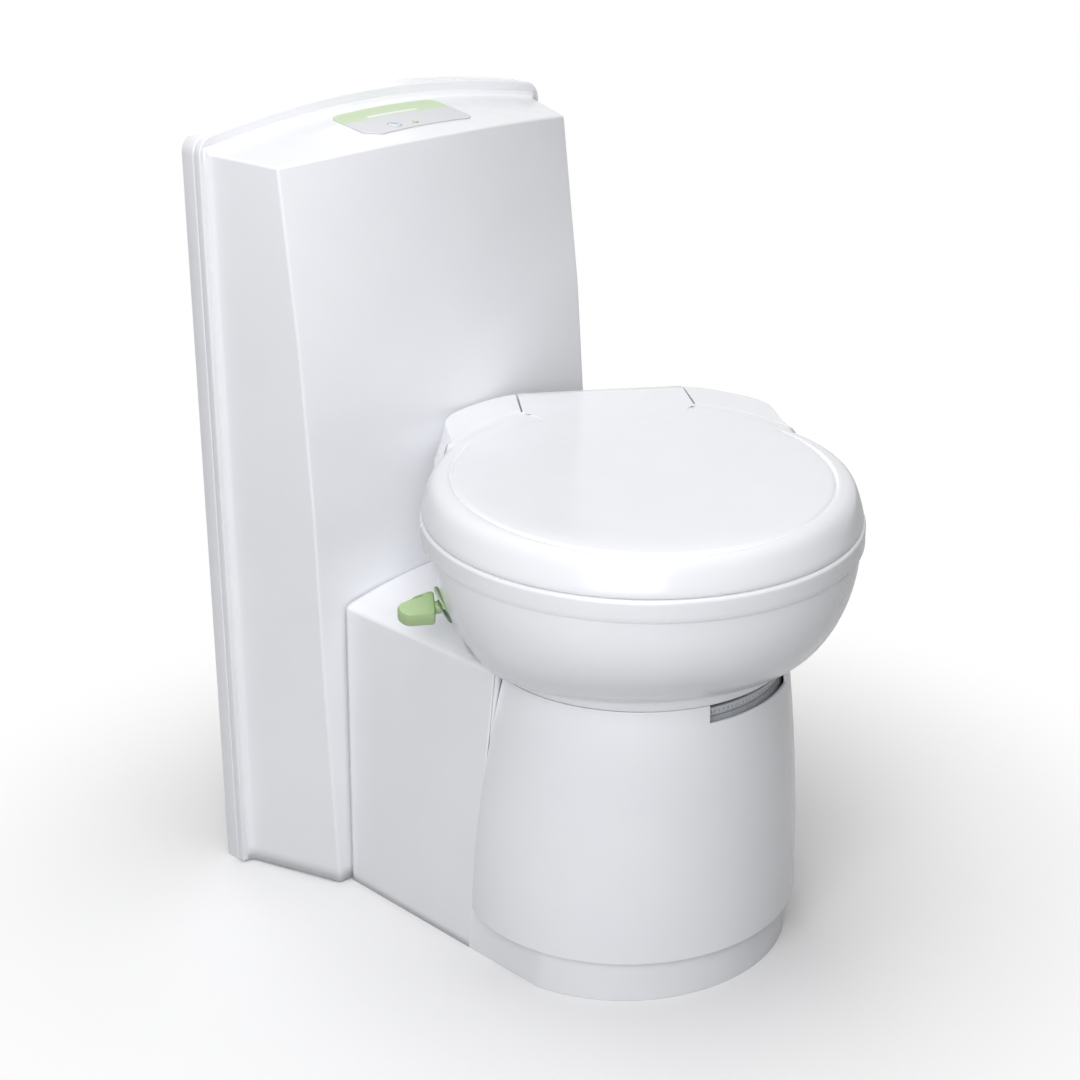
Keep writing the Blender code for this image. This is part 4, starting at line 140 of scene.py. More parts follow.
# Light grey structural foam: column core, trough and bottom plate
core_pp = moulded("light_grey_core", "#C3C6C9", "#B6B9BD", (0.42, 0.58), 1.4, 0.06, 35.0)
# Black ABS: fan and valve body
black_abs = moulded("black_abs", "#1B1C1E", "#242629", (0.32, 0.46), 0.8, 0.03, 20.0)
# Natural HDPE tank: waxy, slightly yellow and translucent to the eye
tank_hdpe = moulded("natural_hdpe", "#E6E0C4", "#D9D2B2", (0.35, 0.5), 1.6, 0.08, 50.0)
tank_shader = tank_hdpe.node_tree.nodes["Principled BSDF"]
tank_shader.inputs["Subsurface Weight"].default_value = 0.12
tank_shader.inputs["Subsurface Scale"].default_value = 4 * MM
# Charcoal polypropylene bin
bin_pp = moulded("charcoal_bin_polypropylene", "#3B4045", "#464B51", (0.38, 0.55), 1.2, 0.05, 30.0)
# Blue-grey ABS screw cap
cap_abs = moulded("blue_grey_cap_abs", "#4D6C86", "#45637C", (0.3, 0.42), 0.8, 0.03, 15.0)
# Natural acetal gears: creamy, slightly waxy
gear_pom = moulded("natural_acetal", "#E4DFCF", "#D8D2BF", (0.3, 0.42), 0.8, 0.02, 12.0)
# EPDM hose and wheel tyres: matt black rubber, a little grey from handling
rubber = moulded("black_epdm_rubber", "#202124", "#2C2D30", (0.55, 0.75), 0.6, 0.06, 10.0)
# Activated-carbon foam: coarse, dead matt
carbon = moulded("carbon_foam", "#141414", "#242424", (0.85, 0.98), 1.6, 0.9, 4.0)
# Clear green acrylic light pipe: deep, wet-looking green
lens_acrylic = moulded("green_acrylic_lens", "#9CC86A", "#8ABB58", (0.06, 0.12), 1.0, 0.004, 6.0)
# Solder-masked circuit board: glossy dark green with fine grain
board_green = moulded("solder_masked_board", "#1F5A35", "#184A2A", (0.22, 0.34), 0.5, 0.02, 5.0)


def turned_metal(name, colour, gloss, along):
    """Turned steel: fine rings of the lathe tool across the bar, drawn 0.35 mm apart to show."""
    made, tree, shader, place = new_material(name)
    rings = add(tree, "ShaderNodeTexWave", {"Scale": 1 / (0.35 * MM) / math.tau, "Detail": 2.0,
                                            "Distortion": 1.5, "Vector": place},
                bands_direction=along)
    stain = add(tree, "ShaderNodeTexNoise", {"Scale": 1 / (14 * MM), "Detail": 3.0,
                                             "Vector": place})
    colours = add(tree, "ShaderNodeMix", {"A": linear(colour), "B": linear("#9A9DA1")},
                  data_type="RGBA")
    rough = dress(tree, shader, colours, stain, gloss, rings.outputs["Fac"], (0.3, 0.01))
    tree.links.new(rough.outputs["Result"], colours.inputs["Factor"])
    shader.inputs["Metallic"].default_value = 1.0
    return made


# Stainless steel: shafts, hinge pin and grate, then screws, rails and water inlet
steel = turned_metal("turned_stainless", "#C9CCD0", (0.18, 0.34), "X")
steel_up = turned_metal("brushed_stainless", "#C6C9CD", (0.2, 0.36), "Y")


def membrane_material():
    """Printed polycarbonate membrane: green band behind, light grey field in front, both satin.

    The print follows the panel's own x and y: the green ends 339.6 mm back at the left and
    336.5 mm at the right, and a blank pale bar lies across the green for a label.
    """
    made, tree, shader, place = new_material("printed_polycarbonate_membrane")
    axes = add(tree, "ShaderNodeSeparateXYZ", {"Vector": place})
    across = axes.outputs["X"]
    slope = add(tree, "ShaderNodeMath", {0: across, 1: 0.0228, 2: -337.9 * MM},
                operation="MULTIPLY_ADD")
    behind = add(tree, "ShaderNodeMath", {0: axes.outputs["Y"], 1: slope}, operation="ADD")
    green = add(tree, "ShaderNodeMath", {0: behind, 1: 0.0}, operation="GREATER_THAN")
    bar_y = add(tree, "ShaderNodeMath", {0: behind, 1: 5.0 * MM, 2: 2.2 * MM},
                operation="COMPARE")
    bar_x = add(tree, "ShaderNodeMath", {0: across, 1: -12.0 * MM, 2: 32.0 * MM},
                operation="COMPARE")
    bar = add(tree, "ShaderNodeMath", {0: bar_y, 1: bar_x}, operation="MULTIPLY")
    fields = add(tree, "ShaderNodeMix", {"A": linear("#D9DADD"), "B": linear("#CBDFBA"),
                                         "Factor": green}, data_type="RGBA")
    printed = add(tree, "ShaderNodeMix", {"A": fields, "B": linear("#F2F4F0"), "Factor": bar},
                  data_type="RGBA")
    grit = add(tree, "ShaderNodeTexNoise", {"Scale": 1 / (0.5 * MM), "Detail": 2.0,
                                            "Vector": place})
    aged = add(tree, "ShaderNodeMix", {"A": printed, "B": grit.outputs["Color"], "Factor": 0.06},
               data_type="RGBA", blend_type="MULTIPLY")
    dress(tree, shader, aged, grit, (0.36, 0.5), grit, (0.4, 0.015))
    shader.inputs["IOR"].default_value = 1.58
    return made


def key_material(centre_x, centre_y):
    """Silicone-coated key: pale grey with a plain blue dot in its middle."""
    made, tree, shader, place = new_material("flush_key_silicone")
    centred = add(tree, "ShaderNodeMapping", {"Location": (-centre_x * MM, -centre_y * MM, 0.0),
                                              "Scale": (1.0, 1.0, 0.0), "Vector": place})
    away = add(tree, "ShaderNodeVectorMath", {0: centred}, operation="LENGTH")
    dot = add(tree, "ShaderNodeMapRange", {"From Min": 4.6 * MM, "From Max": 4.3 * MM,
                                           "Value": away})
    colours = add(tree, "ShaderNodeMix", {"A": linear("#DCDEE1"), "B": linear("#8EBFE0"),
                                          "Factor": dot}, data_type="RGBA")
    grit = add(tree, "ShaderNodeTexNoise", {"Scale": 1 / (0.6 * MM), "Detail": 2.0,
                                            "Vector": place})
    dress(tree, shader, colours, grit, (0.38, 0.55), grit, (0.4, 0.015))
    return made


KEY_PLACE = (-34.0, 313.0)
LENS_PLACE = (-10.0, 309.0)
membrane = membrane_material()
key_print = key_material(*KEY_PLACE)


# Meshes, from points in millimetres
def from_bowl(points):
    """Points of the bowl's own frame in the frame of the console."""
    made = points.copy()
    made[..., 0] = math.cos(BOWL_TURN) * points[..., 0] - math.sin(BOWL_TURN) * points[..., 1]
    made[..., 1] = math.sin(BOWL_TURN) * points[..., 0] + math.cos(BOWL_TURN) * points[..., 1]
    return made


def skin(rows, around=True, ring=False, caps=False, keep=None):
    """Points and faces between rows of equal length.

    around closes each row, ring joins the last row to the first and caps closes both ends.
    keep(row, place) says whether the face that starts there is made.
    """
    rows = np.asarray(rows, float)
    count, length = rows.shape[:2]
    faces = []
    for row in range(count if ring else count - 1):
        above = (row + 1) % count
        for here in range(length if around else length - 1):
            after = (here + 1) % length
            if keep is None or keep(row, here):
                faces.append((row * length + here, row * length + after,
                              above * length + after, above * length + here))
    if caps:
        faces.append(tuple(reversed(range(length))))
        faces.append(tuple(range((count - 1) * length, count * length)))
    return rows.reshape(-1, 3), faces


def lathe(profile, steps, centre=(0.0, 0.0, 0.0), along_x=False):
    """A capped body round an axis, from its (radius, place along the axis) pairs."""
    turns = math.tau * np.arange(steps) / steps
    rows = []
    for radius, place in profile:
        across, up, along = radius * np.cos(turns), radius * np.sin(turns), np.full(steps, place)
        rows.append(np.stack((along, across, up) if along_x else (across, up, along), axis=1))
    return skin(np.array(rows) + centre, caps=True)


def round_bar(radius, low, high, centre, edge, steps):
    """A capped bar along X with small chamfers."""
    return lathe([(radius - edge, low), (radius, low + edge), (radius, high - edge),
                  (radius - edge, high)], steps, centre, True)


def cleaned(mesh, outside=None):
    """Merge double points and turn the faces outwards, or away from a point inside a sheet."""
    work = bmesh.new()
    work.from_mesh(mesh)
    bmesh.ops.remove_doubles(work, verts=work.verts, dist=0.004 * MM)
    bmesh.ops.dissolve_degenerate(work, edges=work.edges, dist=0.002 * MM)
    bmesh.ops.recalc_face_normals(work, faces=work.faces)
    if outside is not None:
        middle = Vector(outside) * MM
        facing = sum(face.calc_area() * face.normal.dot(face.calc_center_median() - middle)
                     for face in work.faces)
        if facing < 0:
            bmesh.ops.reverse_faces(work, faces=work.faces)
    work.to_mesh(mesh)
    work.free()
    return mesh


def mesh_of(name, *parts, turned=False, outside=None):
    """One cleaned mesh of several (points, faces) parts, turned with the bowl if asked."""
    faces, start = [], 0
    for part_points, part_faces in parts:
        faces += [tuple(start + place for place in face) for face in part_faces]
        start += len(part_points)
    points = np.concatenate([part[0] for part in parts]) * MM
    mesh = bpy.data.meshes.new(name)
    mesh.from_pydata((from_bowl(points) if turned else points).tolist(), [], faces)
    return cleaned(mesh, outside)


def curve_mesh(name, outlines, low, high, edge, upright=False):
    """Extrude outlines with rounded edges: the first outside and anticlockwise, then holes.

    They lie in x and y and rise along Z, or stand upright in x and z and go back along Y.
    """
    curve = bpy.data.curves.new(name, "CURVE")
    curve.dimensions = "2D"
    curve.fill_mode = "BOTH"
    curve.extrude = (high - low) / 2 * MM - edge * MM
    curve.bevel_depth = edge * MM
    curve.bevel_resolution = 3
    curve.offset = -edge * MM
    for points in outlines:
        spline = curve.splines.new("POLY")
        spline.points.add(len(points) - 1)
        for place, (across, up) in zip(spline.points, points):
            place.co = (across * MM, up * MM, 0.0, 1.0)
        spline.use_cyclic_u = True
    made = bpy.data.objects.new(name, curve)
    bpy.context.scene.collection.objects.link(made)
    mesh = bpy.data.meshes.new_from_object(
        made.evaluated_get(bpy.context.evaluated_depsgraph_get()))
    bpy.data.objects.remove(made, do_unlink=True)
    middle = (low + high) / 2 * MM
    if upright:
        mesh.transform(Matrix.Translation((0.0, middle, 0.0))
                       @ Matrix.Rotation(math.pi / 2, 4, "X"))
    else:
        mesh.transform(Matrix.Translation((0.0, 0.0, middle)))
    return cleaned(mesh)


def join_meshes(name, *meshes):
    work = bmesh.new()
    for mesh in meshes:
        work.from_mesh(mesh)
    made = bpy.data.meshes.new(name)
    work.to_mesh(made)
    work.free()
    return made


def piece(name, mesh, material, body, replaced=(), sharp=32.0):
    """An object at the origin that rides on a body and stands for CAD nodes."""
    mesh.name = name
    mesh.materials.clear()
    mesh.materials.append(material)
    mesh.polygons.foreach_set("use_smooth", [True] * len(mesh.polygons))
    mesh.polygons.foreach_set("material_index", [0] * len(mesh.polygons))
    mesh.set_sharp_from_angle(angle=math.radians(sharp))
    made = bpy.data.objects.new(name, mesh)
    bpy.context.scene.collection.objects.link(made)
    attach(made, body)
    if replaced:
        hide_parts(*replaced)
    return made


def wall(made):
    """Give an open sheet its thickness, inwards from the side that its faces look to."""
    step = made.modifiers.new("wall", "SOLIDIFY")
    step.thickness = WALL * MM
    step.offset = -1.0


def soften(made, width, segments, angle):
    step = made.modifiers.new("edges", "BEVEL")
    step.width = width * MM
    step.segments = segments
    step.limit_method = "ANGLE"
    step.angle_limit = math.radians(angle)
    step.harden_normals = True


def spaced(low, high, count):
    return [low + (high - low) * step / (count - 1) for step in range(count)]


def eased(share):
    share = np.clip(share, 0.0, 1.0)
    return share * share * (3 - 2 * share)


def quarter(radius, steps):
    """How far in and how far up a rounded edge goes, step by step."""
    return [(radius * (1 - math.cos(math.pi / 2 * step / steps)),
             radius * math.sin(math.pi / 2 * step / steps)) for step in range(1, steps + 1)]


def hole(radius, centre, steps):
    """A round outline, clockwise."""
    return [(centre[0] + radius * math.cos(math.tau * step / steps),
             centre[1] - radius * math.sin(math.tau * step / steps)) for step in range(steps)]


def arc(centre, radius, start, stop, steps):
    """Points on an arc between two angles in degrees."""
    turns = [math.radians(turn) for turn in spaced(start, stop, steps + 1)]
    return [(centre[0] + radius * math.cos(turn), centre[1] + radius * math.sin(turn))
            for turn in turns]


# Console: back plate, flange and cover
BACK_Y, PLATE_FRONT_Y = 409.1, 389.1
PLATE_HALF, PLATE_HEIGHT = 226.7, 820.0
PLATE_DROP, PLATE_CORNER = 19.0, 20.0
FLANGE_REAR_Y, FLANGE_FRONT_Y = 388.8, 378.6
FLANGE_EDGE = 1.6
COVER_CENTRE_Y, COVER_REAR_HALF = 268.1, 216.0
COVER_FOOT, COVER_FLARE = 2.0, 6.0
COVER_LEVELS = (0.0, 241.0, 434.0, 598.0, 776.0)
COVER_CORNER_Y = (270.4, 271.9, 268.6, 279.8, 301.1)
COVER_CORNER_HALF = (178.3, 185.6, 191.5, 191.3, 191.0)
CHUTE_HALF, CHUTE_TOP = 150.0, 305.0


def plate_outline(foot):
    """The back's outline in x and z, anticlockwise seen from the front, from the right foot."""
    centre_x = PLATE_HALF - PLATE_CORNER
    centre_z = PLATE_HEIGHT - PLATE_DROP - PLATE_CORNER
    half_line = [(PLATE_HALF, foot)] + arc((centre_x, centre_z), PLATE_CORNER, 0, 75, 16)
    half_line += [(x, PLATE_HEIGHT - PLATE_DROP * (x / centre_x) ** 2)
                  for x in spaced(half_line[-1][0], 0.0, 41)[1:]]
    return half_line + [(-x, z) for x, z in reversed(half_line[:-1])]


def cover_top(x, y):
    return 804.8 - 17.2 * (x / 193.0) ** 2 - 0.146 * (FLANGE_FRONT_Y - y)


def cover_flare(y):
    run = min(max(y - (FLANGE_FRONT_Y - COVER_FLARE), 0.0), COVER_FLARE)
    return COVER_FLARE - math.sqrt(COVER_FLARE ** 2 - run ** 2)


def cover_point(across, depth, up):
    """A share across (-1 to 1), rear to front (0 to 1) and up (0 to 1), mapped to the cover."""
    level = COVER_FOOT + up * (COVER_LEVELS[-1] - COVER_FOOT)
    corner_y = np.interp(level, COVER_LEVELS, COVER_CORNER_Y)
    corner_half = np.interp(level, COVER_LEVELS, COVER_CORNER_HALF)
    front_y = COVER_CENTRE_Y + (corner_y - COVER_CENTRE_Y) * across ** 2
    y = FLANGE_FRONT_Y + (front_y - FLANGE_FRONT_Y) * depth
    x = across * (COVER_REAR_HALF + (corner_half - COVER_REAR_HALF) * depth)
    z = COVER_FOOT + up * (cover_top(x, y) - COVER_FOOT)
    if abs(across) > 0.999:
        x += math.copysign(cover_flare(y), across)
    if up > 0.999:
        z += cover_flare(y)
    return x, y, z


def cover_sheet():
    """The cover's outer face: two sides, the top and the front, on one grid of shares."""
    flare_share = COVER_FLARE / (FLANGE_FRONT_Y - COVER_CENTRE_Y)
    ups = spaced(0.0, 1.0, 49)
    acrosses = spaced(-1.0, 1.0, 61)
    depths = spaced(0.0, flare_share, 9) + spaced(flare_share, 1.0, 13)[1:]
    parts = [skin([[cover_point(side, depth, up) for up in ups] for depth in depths],
                  around=False) for side in (-1.0, 1.0)]
    parts.append(skin([[cover_point(across, depth, 1.0) for across in acrosses]
                       for depth in depths], around=False))
    front = [[cover_point(across, 1.0, up) for across in acrosses] for up in ups]

    def outside_chute(row, here):
        reach = max(abs(front[row][here][0]), abs(front[row][here + 1][0]))
        return reach > CHUTE_HALF or front[row + 1][here][2] > CHUTE_TOP

    parts.append(skin(front, around=False, keep=outside_chute))
    return mesh_of("console_cover", *parts, outside=(0.0, 360.0, 400.0))


# The back's holes: hatch of the container, vent, water inlet and sunk screws
HATCH = (152.0, 10.0, 206.0)
HATCH_CORNER = 6.0
VENT, VENT_RADIUS = (110.0, 600.0), 34.0
INLET, INLET_RADIUS = (-120.0, 420.0), 8.3
SCREW_HOLE = 5.0
SCREWS = [(x, z) for x in (-196.0, 196.0) for z in (60.0, 290.0, 530.0, 750.0)]
hatch = []
for side, level, start in ((1, HATCH[2] - HATCH_CORNER, 90), (1, HATCH[1] + HATCH_CORNER, 0),
                           (-1, HATCH[1] + HATCH_CORNER, -90),
                           (-1, HATCH[2] - HATCH_CORNER, -180)):
    hatch += arc((side * (HATCH[0] - HATCH_CORNER), level), HATCH_CORNER, start, start - 90, 6)
plate_mesh = curve_mesh(
    "back_plate", [plate_outline(0.0), hatch, hole(VENT_RADIUS, VENT, 64),
                   hole(INLET_RADIUS, INLET, 40),
                   *[hole(SCREW_HOLE, place, 24) for place in SCREWS]],
    PLATE_FRONT_Y, BACK_Y, FLANGE_EDGE, upright=True)
piece("console_back_plate", plate_mesh, white_abs, "base", ["back_plate"])

# The flange runs round the cover's rear edge and stays open at the floor
FLANGE_HALF, FLANGE_OVERLAP = 209.0, 7.0
inner_line = [(-FLANGE_HALF, COVER_FOOT)]
inner_line += [(x, cover_top(x, FLANGE_FRONT_Y) - FLANGE_OVERLAP)
               for x in spaced(-FLANGE_HALF, FLANGE_HALF, 31)]
inner_line += [(FLANGE_HALF, COVER_FOOT)]
flange_mesh = curve_mesh("console_flange", [plate_outline(COVER_FOOT) + inner_line],
                         FLANGE_FRONT_Y, FLANGE_REAR_Y, FLANGE_EDGE, upright=True)
cover = piece("console_cover_front", cover_sheet(), white_abs, "base", ["console_cover"],
              40.0)
soften(cover, 2.6, 4, 38.0)
wall(cover)
piece("console_cover_flange", flange_mesh, white_abs, "base", ())


# Control panel, key and light pipe
PANEL_X, PANEL_Y = (-75.5, 60.5), (299.0, 366.0)
PANEL_CHAMFER, PANEL_CORNER, PANEL_LIFT = 14.0, 9.0, 0.25


def panel_outline():
    """The panel's outline: a straight cut at its front left and three round corners."""
    left, right = PANEL_X[0] + PANEL_CORNER, PANEL_X[1] - PANEL_CORNER
    front, back = PANEL_Y[0] + PANEL_CORNER, PANEL_Y[1] - PANEL_CORNER
    made = [(PANEL_X[0], PANEL_Y[0] + PANEL_CHAMFER), (PANEL_X[0] + PANEL_CHAMFER, PANEL_Y[0])]
    for centre, start in (((right, front), -90), ((right, back), 0), ((left, back), 90)):
        made += arc(centre, PANEL_CORNER, start, start + 90, 8)
    return made


def laid_on_cover(mesh, slices):
    """Slice the flat panel across and lift it on to the arch of the cover's top."""
    work = bmesh.new()
    work.from_mesh(mesh)
    for across in spaced(*PANEL_X, slices + 1)[1:-1]:
        bmesh.ops.bisect_plane(work, geom=work.verts[:] + work.edges[:] + work.faces[:],
                               plane_co=(across * MM, 0.0, 0.0), plane_no=(1.0, 0.0, 0.0))
    for vert in work.verts:
        vert.co.z += (cover_top(vert.co.x / MM, vert.co.y / MM) + PANEL_LIFT) * MM
    work.to_mesh(mesh)
    work.free()
    return mesh


def button(place, radius, low, high, edge, steps, crown):
    """A round button with a softened rim and a slightly crowned face."""
    profile = [(radius, low), (radius, high - edge)]
    profile += [(radius - inwards, high - edge + up) for inwards, up in quarter(edge, 5)]
    profile += [((radius - edge) * share, high + crown * (1 - share * share))
                for share in (0.8, 0.55, 0.3, 0.05)]
    return lathe(profile, steps, (*place, 0.0))


panel_mesh = curve_mesh("control_panel", [panel_outline(), hole(7.4, KEY_PLACE, 40),
                                          hole(3.3, LENS_PLACE, 28)], 0.0, 1.2, 0.35)
piece("control_panel_membrane", laid_on_cover(panel_mesh, 34), membrane, "base",
      ["control_panel"], 50.0)
key_foot = cover_top(*KEY_PLACE) - 6.0
key_mesh = mesh_of("flush_key", button(KEY_PLACE, 7.0, key_foot, key_foot + 8.0, 0.9, 48, 0.5),
                   button(KEY_PLACE, 2.5, 781.1, key_foot, 0.2, 24, 0.0))
piece("flush_key_button", key_mesh, key_print, "key", ["flush_key"])
lens_mesh = mesh_of("status_lens", button(LENS_PLACE, 3.0, 776.3, cover_top(*LENS_PLACE) + 1.7,
                                          0.5, 32, 0.3))
piece("status_light_pipe", lens_mesh, lens_acrylic, "base", ["status_lens"])


# Plinth between the console and the column
PLINTH_REAR_Y = 267.8
SLANT_RUN = (72.0 - 41.3) / (316.0 - 50.0)
SIDE_HALF, SIDE_LEAN, SIDE_HEIGHT = 163.3, 6.3, 321.7
DECK_HALF, DECK_EDGE = 157.0, 6.0
NECK_HOLE = 150.6
DIP_R = (0.0, 166.0, 170.0, 174.0, 180.0, 190.0, 200.0, 216.0)
DIP_Z = (321.5, 321.5, 323.4, 327.8, 334.0, 341.0, 348.0, 358.0)


def slant_y(height):
    """The slanted joint plane between the column and the plinth."""
    return 72.0 + (50.0 - height) * SLANT_RUN


def side_x(height):
    """The plinth's leaning side."""
    return SIDE_HALF - SIDE_LEAN * height / SIDE_HEIGHT


def deck_crown(x):
    return 339.0 - 18.0 * (x / 160.0) ** 2


def deck_z(x, y):
    """The deck, which dips towards the bowl's neck, with a soft edge where the dip starts."""
    crown, soft = deck_crown(x), 2.5
    dip = float(np.interp(math.hypot(x, y), DIP_R, DIP_Z))
    blend = max(0.0, 1 - abs(crown - dip) / soft)
    return min(crown, dip) - blend * blend * soft / 4


def plinth_row(share):
    """One row from the left foot over the deck to the right foot, a share of the way back."""
    def backwards(front):
        return front + (PLINTH_REAR_Y - front) * share

    lean = math.atan2(SIDE_LEAN, SIDE_HEIGHT)
    fall = math.atan2(2 * 18.0 * DECK_HALF / 160.0 ** 2, 1.0)
    low_z = deck_crown(DECK_HALF) - DECK_EDGE
    centre_x = -side_x(low_z) + DECK_EDGE * math.cos(lean)
    row = [(-side_x(z), backwards(slant_y(z)), z) for z in spaced(0.0, low_z, 31)[:-1]]
    for angle in spaced(math.pi - lean, math.pi / 2 + fall, 9):
        x = centre_x + DECK_EDGE * math.cos(angle)
        z = low_z + DECK_EDGE * math.sin(angle)
        y = backwards(slant_y(z))
        row.append((x, y, min(z, deck_z(x, y) + 0.4)))
    side = row[:]
    for x in spaced(row[-1][0], -row[-1][0], 81)[1:-1]:
        front = slant_y(min(deck_crown(x), 322.0))
        if abs(x) < NECK_HOLE:
            front = max(front, math.sqrt(NECK_HOLE ** 2 - x * x))
        y = backwards(front)
        row.append((x, y, deck_z(x, y)))
    return row + [(-x, y, z) for x, y, z in reversed(side)]


def joint_flange_rows(edge):
    """A strip that closes the plinth's front edge towards the column, just behind the edge."""
    inner_x, inner_z, drop = 143.4, 312.5, 12.0
    rows = []
    for reach in (0.1, 0.5, 1.0):
        row = []
        for x, y, z in edge:
            under = z - drop if abs(x) < inner_x else min(z, inner_z)
            aim = max(-inner_x, min(inner_x, x))
            row.append((x + (aim - x) * reach, y + 0.3, z + (under - z) * reach))
        rows.append(row)
    return rows


# Toe: the low step that the column stands on
TOE_HALF, TOE_LENGTH, TOE_CENTRE = 166.2, 155.8, 6.9
TOE_TOP, TOE_EDGE = 46.7, 2.4


def toe_rows():
    widest = math.pi - math.asin(SIDE_HALF / TOE_HALF)
    profile = [(0.0, 0.0), (0.0, 0.6), (0.0, TOE_TOP - TOE_EDGE)]
    profile += [(inwards, TOE_TOP - TOE_EDGE + up) for inwards, up in quarter(TOE_EDGE, 5)]
    rows = []
    for inset, z in profile + [(12.0, TOE_TOP), (24.0, TOE_TOP)]:
        limit = side_x(z) - 0.25
        row = [(max(-limit, min(limit, (TOE_HALF - inset) * math.sin(angle))),
                TOE_CENTRE - (TOE_LENGTH - inset) * math.cos(angle), z)
               for angle in spaced(widest, -widest, 161)]
        rows.append([(row[0][0], y, z) for y in (120.0, 90.0, 60.0)] + row
                    + [(row[-1][0], y, z) for y in (60.0, 90.0, 120.0)])
    return rows


plinth_sheet = [plinth_row(share) for share in
                [0.0, 0.004] + [share ** 1.15 for share in spaced(0.02, 1.0, 60)]]
plinth_mesh = join_meshes(
    "plinth",
    mesh_of("deck", skin(plinth_sheet, around=False), outside=(0.0, 170.0, 100.0)),
    mesh_of("joint_flange", skin(joint_flange_rows(plinth_sheet[0]), around=False),
            outside=(0.0, 900.0, 200.0)),
    mesh_of("toe", skin(toe_rows(), around=False), outside=(0.0, 20.0, 0.0)))
wall(piece("plinth_housing_shell", plinth_mesh, white_abs, "base", ["plinth_housing"],
           30.0))


# Column skirt with its window: places run from -2 to 2, and to 60 degrees each way at 1
SKIRT_REACH = math.radians(60)
WINDOW_FROM, WINDOW_TO, WINDOW_FOOT = -18.5 / 60, 29.0 / 60, 293.5
SKIRT_TURN = 60.0


def skirt_row(z, places):
    grown = 1.0 if z <= SKIRT_TURN else 1.0 - ((z - SKIRT_TURN) / 251.5) ** 2
    half = 150.0 + 25.4 * grown
    length = 150.0 + 19.8 * grown
    centre = 10.3 * grown
    end = math.acos(max(-1.0, (centre - slant_y(z) + 0.3) / length))
    row = []
    for place in places:
        angle = place * SKIRT_REACH
        if abs(place) > 1.0:
            angle = math.copysign(SKIRT_REACH + (end - SKIRT_REACH) * (abs(place) - 1.0), place)
        row.append((half * math.sin(angle), centre - length * math.cos(angle), z))
    return row


skirt_places = sorted([step / 60 for step in range(-60, 61)] + [WINDOW_FROM, WINDOW_TO]
                      + [side * (1 + step / 24) for side in (-1, 1) for step in range(1, 25)])
skirt_levels = ([47.0, 47.5] + spaced(50.0, SKIRT_TURN, 4) + spaced(SKIRT_TURN, WINDOW_FOOT, 48)[1:]
                + spaced(WINDOW_FOOT, 311.5, 7)[1:])
window_places = skirt_places.index(WINDOW_FROM), skirt_places.index(WINDOW_TO)
window_row = len(skirt_levels) - 7


def beside_window(row, here):
    return row < window_row or not window_places[0] <= here < window_places[1]


skirt_sheet = skin([skirt_row(z, skirt_places) for z in skirt_levels], around=False,
                   keep=beside_window)
skirt = piece("column_skirt_shell", mesh_of("skirt", skirt_sheet, outside=(0.0, 50.0, 180.0)),
              white_abs, "base", ["column_skirt"], 30.0)
wall(skirt)
soften(skirt, 0.9, 3, 50.0)


# Bowl: every row is one level of two half ellipses that share their widest line
ANGLES = np.linspace(0.0, math.tau, 224, endpoint=False)
BELLY_FOOT, BELLY_TOP = 328.8, 442.1
BELLY_CENTRE, BELLY_WALL = 34.0, 4.0


def oval_row(half, front, rear, centre_y, z):
    length = np.where(np.cos(ANGLES) > 0, front, rear)
    return np.stack([half * np.sin(ANGLES), centre_y - length * np.cos(ANGLES),
                     np.full(len(ANGLES), z)], axis=1)


def belly_z(share):
    return BELLY_FOOT + (BELLY_TOP - BELLY_FOOT) * share


def belly_row(share, inset=0.0, z=None):
    """The belly at a share of its height, drawn in by an inset and moved to z if given."""
    side = 1 - (1 - share) ** 1.84
    front = 1 - (1 - share) ** 2.78
    rear = 158.0 + 46.0 * side + BELLY_CENTRE
    return oval_row(163.5 + 42.5 * side - inset, 128.5 + 77.0 * front - inset, rear - inset,
                    -BELLY_CENTRE, belly_z(share) if z is None else z)


def round_rows(*profile):
    return [oval_row(radius, radius, radius, 0.0, z) for radius, z in profile]


bowl_rows = round_rows((114.0, 315.8), (114.0, 311.8), (148.8, 311.8), (149.6, 312.1),
                       (150.0, 312.9), (150.0, 318.0), (150.0, 323.8), (150.4, 324.7),
                       (151.4, 325.0))
bowl_rows += [0.5 * (round_rows((152.0, 325.2))[0] + belly_row(0.0, 8.0, 325.6)),
              belly_row(0.0, 5.0, 326.6), belly_row(0.0, 2.0, 327.2), belly_row(0.0, 0.6, 328.0)]
bowl_rows += [belly_row(share) for share in np.linspace(0.0, 1.0, 46)[:-1] ** 1.12]
bowl_rows += [belly_row(0.992), belly_row(0.997, 0.15), belly_row(1.0, 0.7),
              belly_row(1.0, BELLY_WALL)]
bowl_rows += [belly_row(share, BELLY_WALL, max(belly_z(share), BELLY_FOOT + BELLY_WALL))
              for share in (0.9, 0.75, 0.6, 0.45, 0.3, 0.18, 0.08, 0.0)]
bowl_rows += round_rows((146.0, 329.0), (146.0, 315.8))
piece("bowl_outer_shell", mesh_of("bowl_shell", skin(bowl_rows, ring=True), turned=True),
      white_abs, "bowl", ["bowl_shell"], 34.0)


# Seat ring: soft edges outside, a rounded lip towards the opening and two pins behind
SEAT_FOOT, SEAT_TOP, SEAT_EDGE = 442.4, 463.6, 4.2
LID_CENTRE = 13.4


def seat_row(share, z, inset=0.0):
    """An oval between the seat's outside (share 0) and its opening (share 1)."""
    half = 214.4 + (118.0 - 214.4) * share - inset
    length = 229.3 + (152.0 - 229.3) * share - inset
    return oval_row(half, length, length, -LID_CENTRE - (22.0 - LID_CENTRE) * share, z)


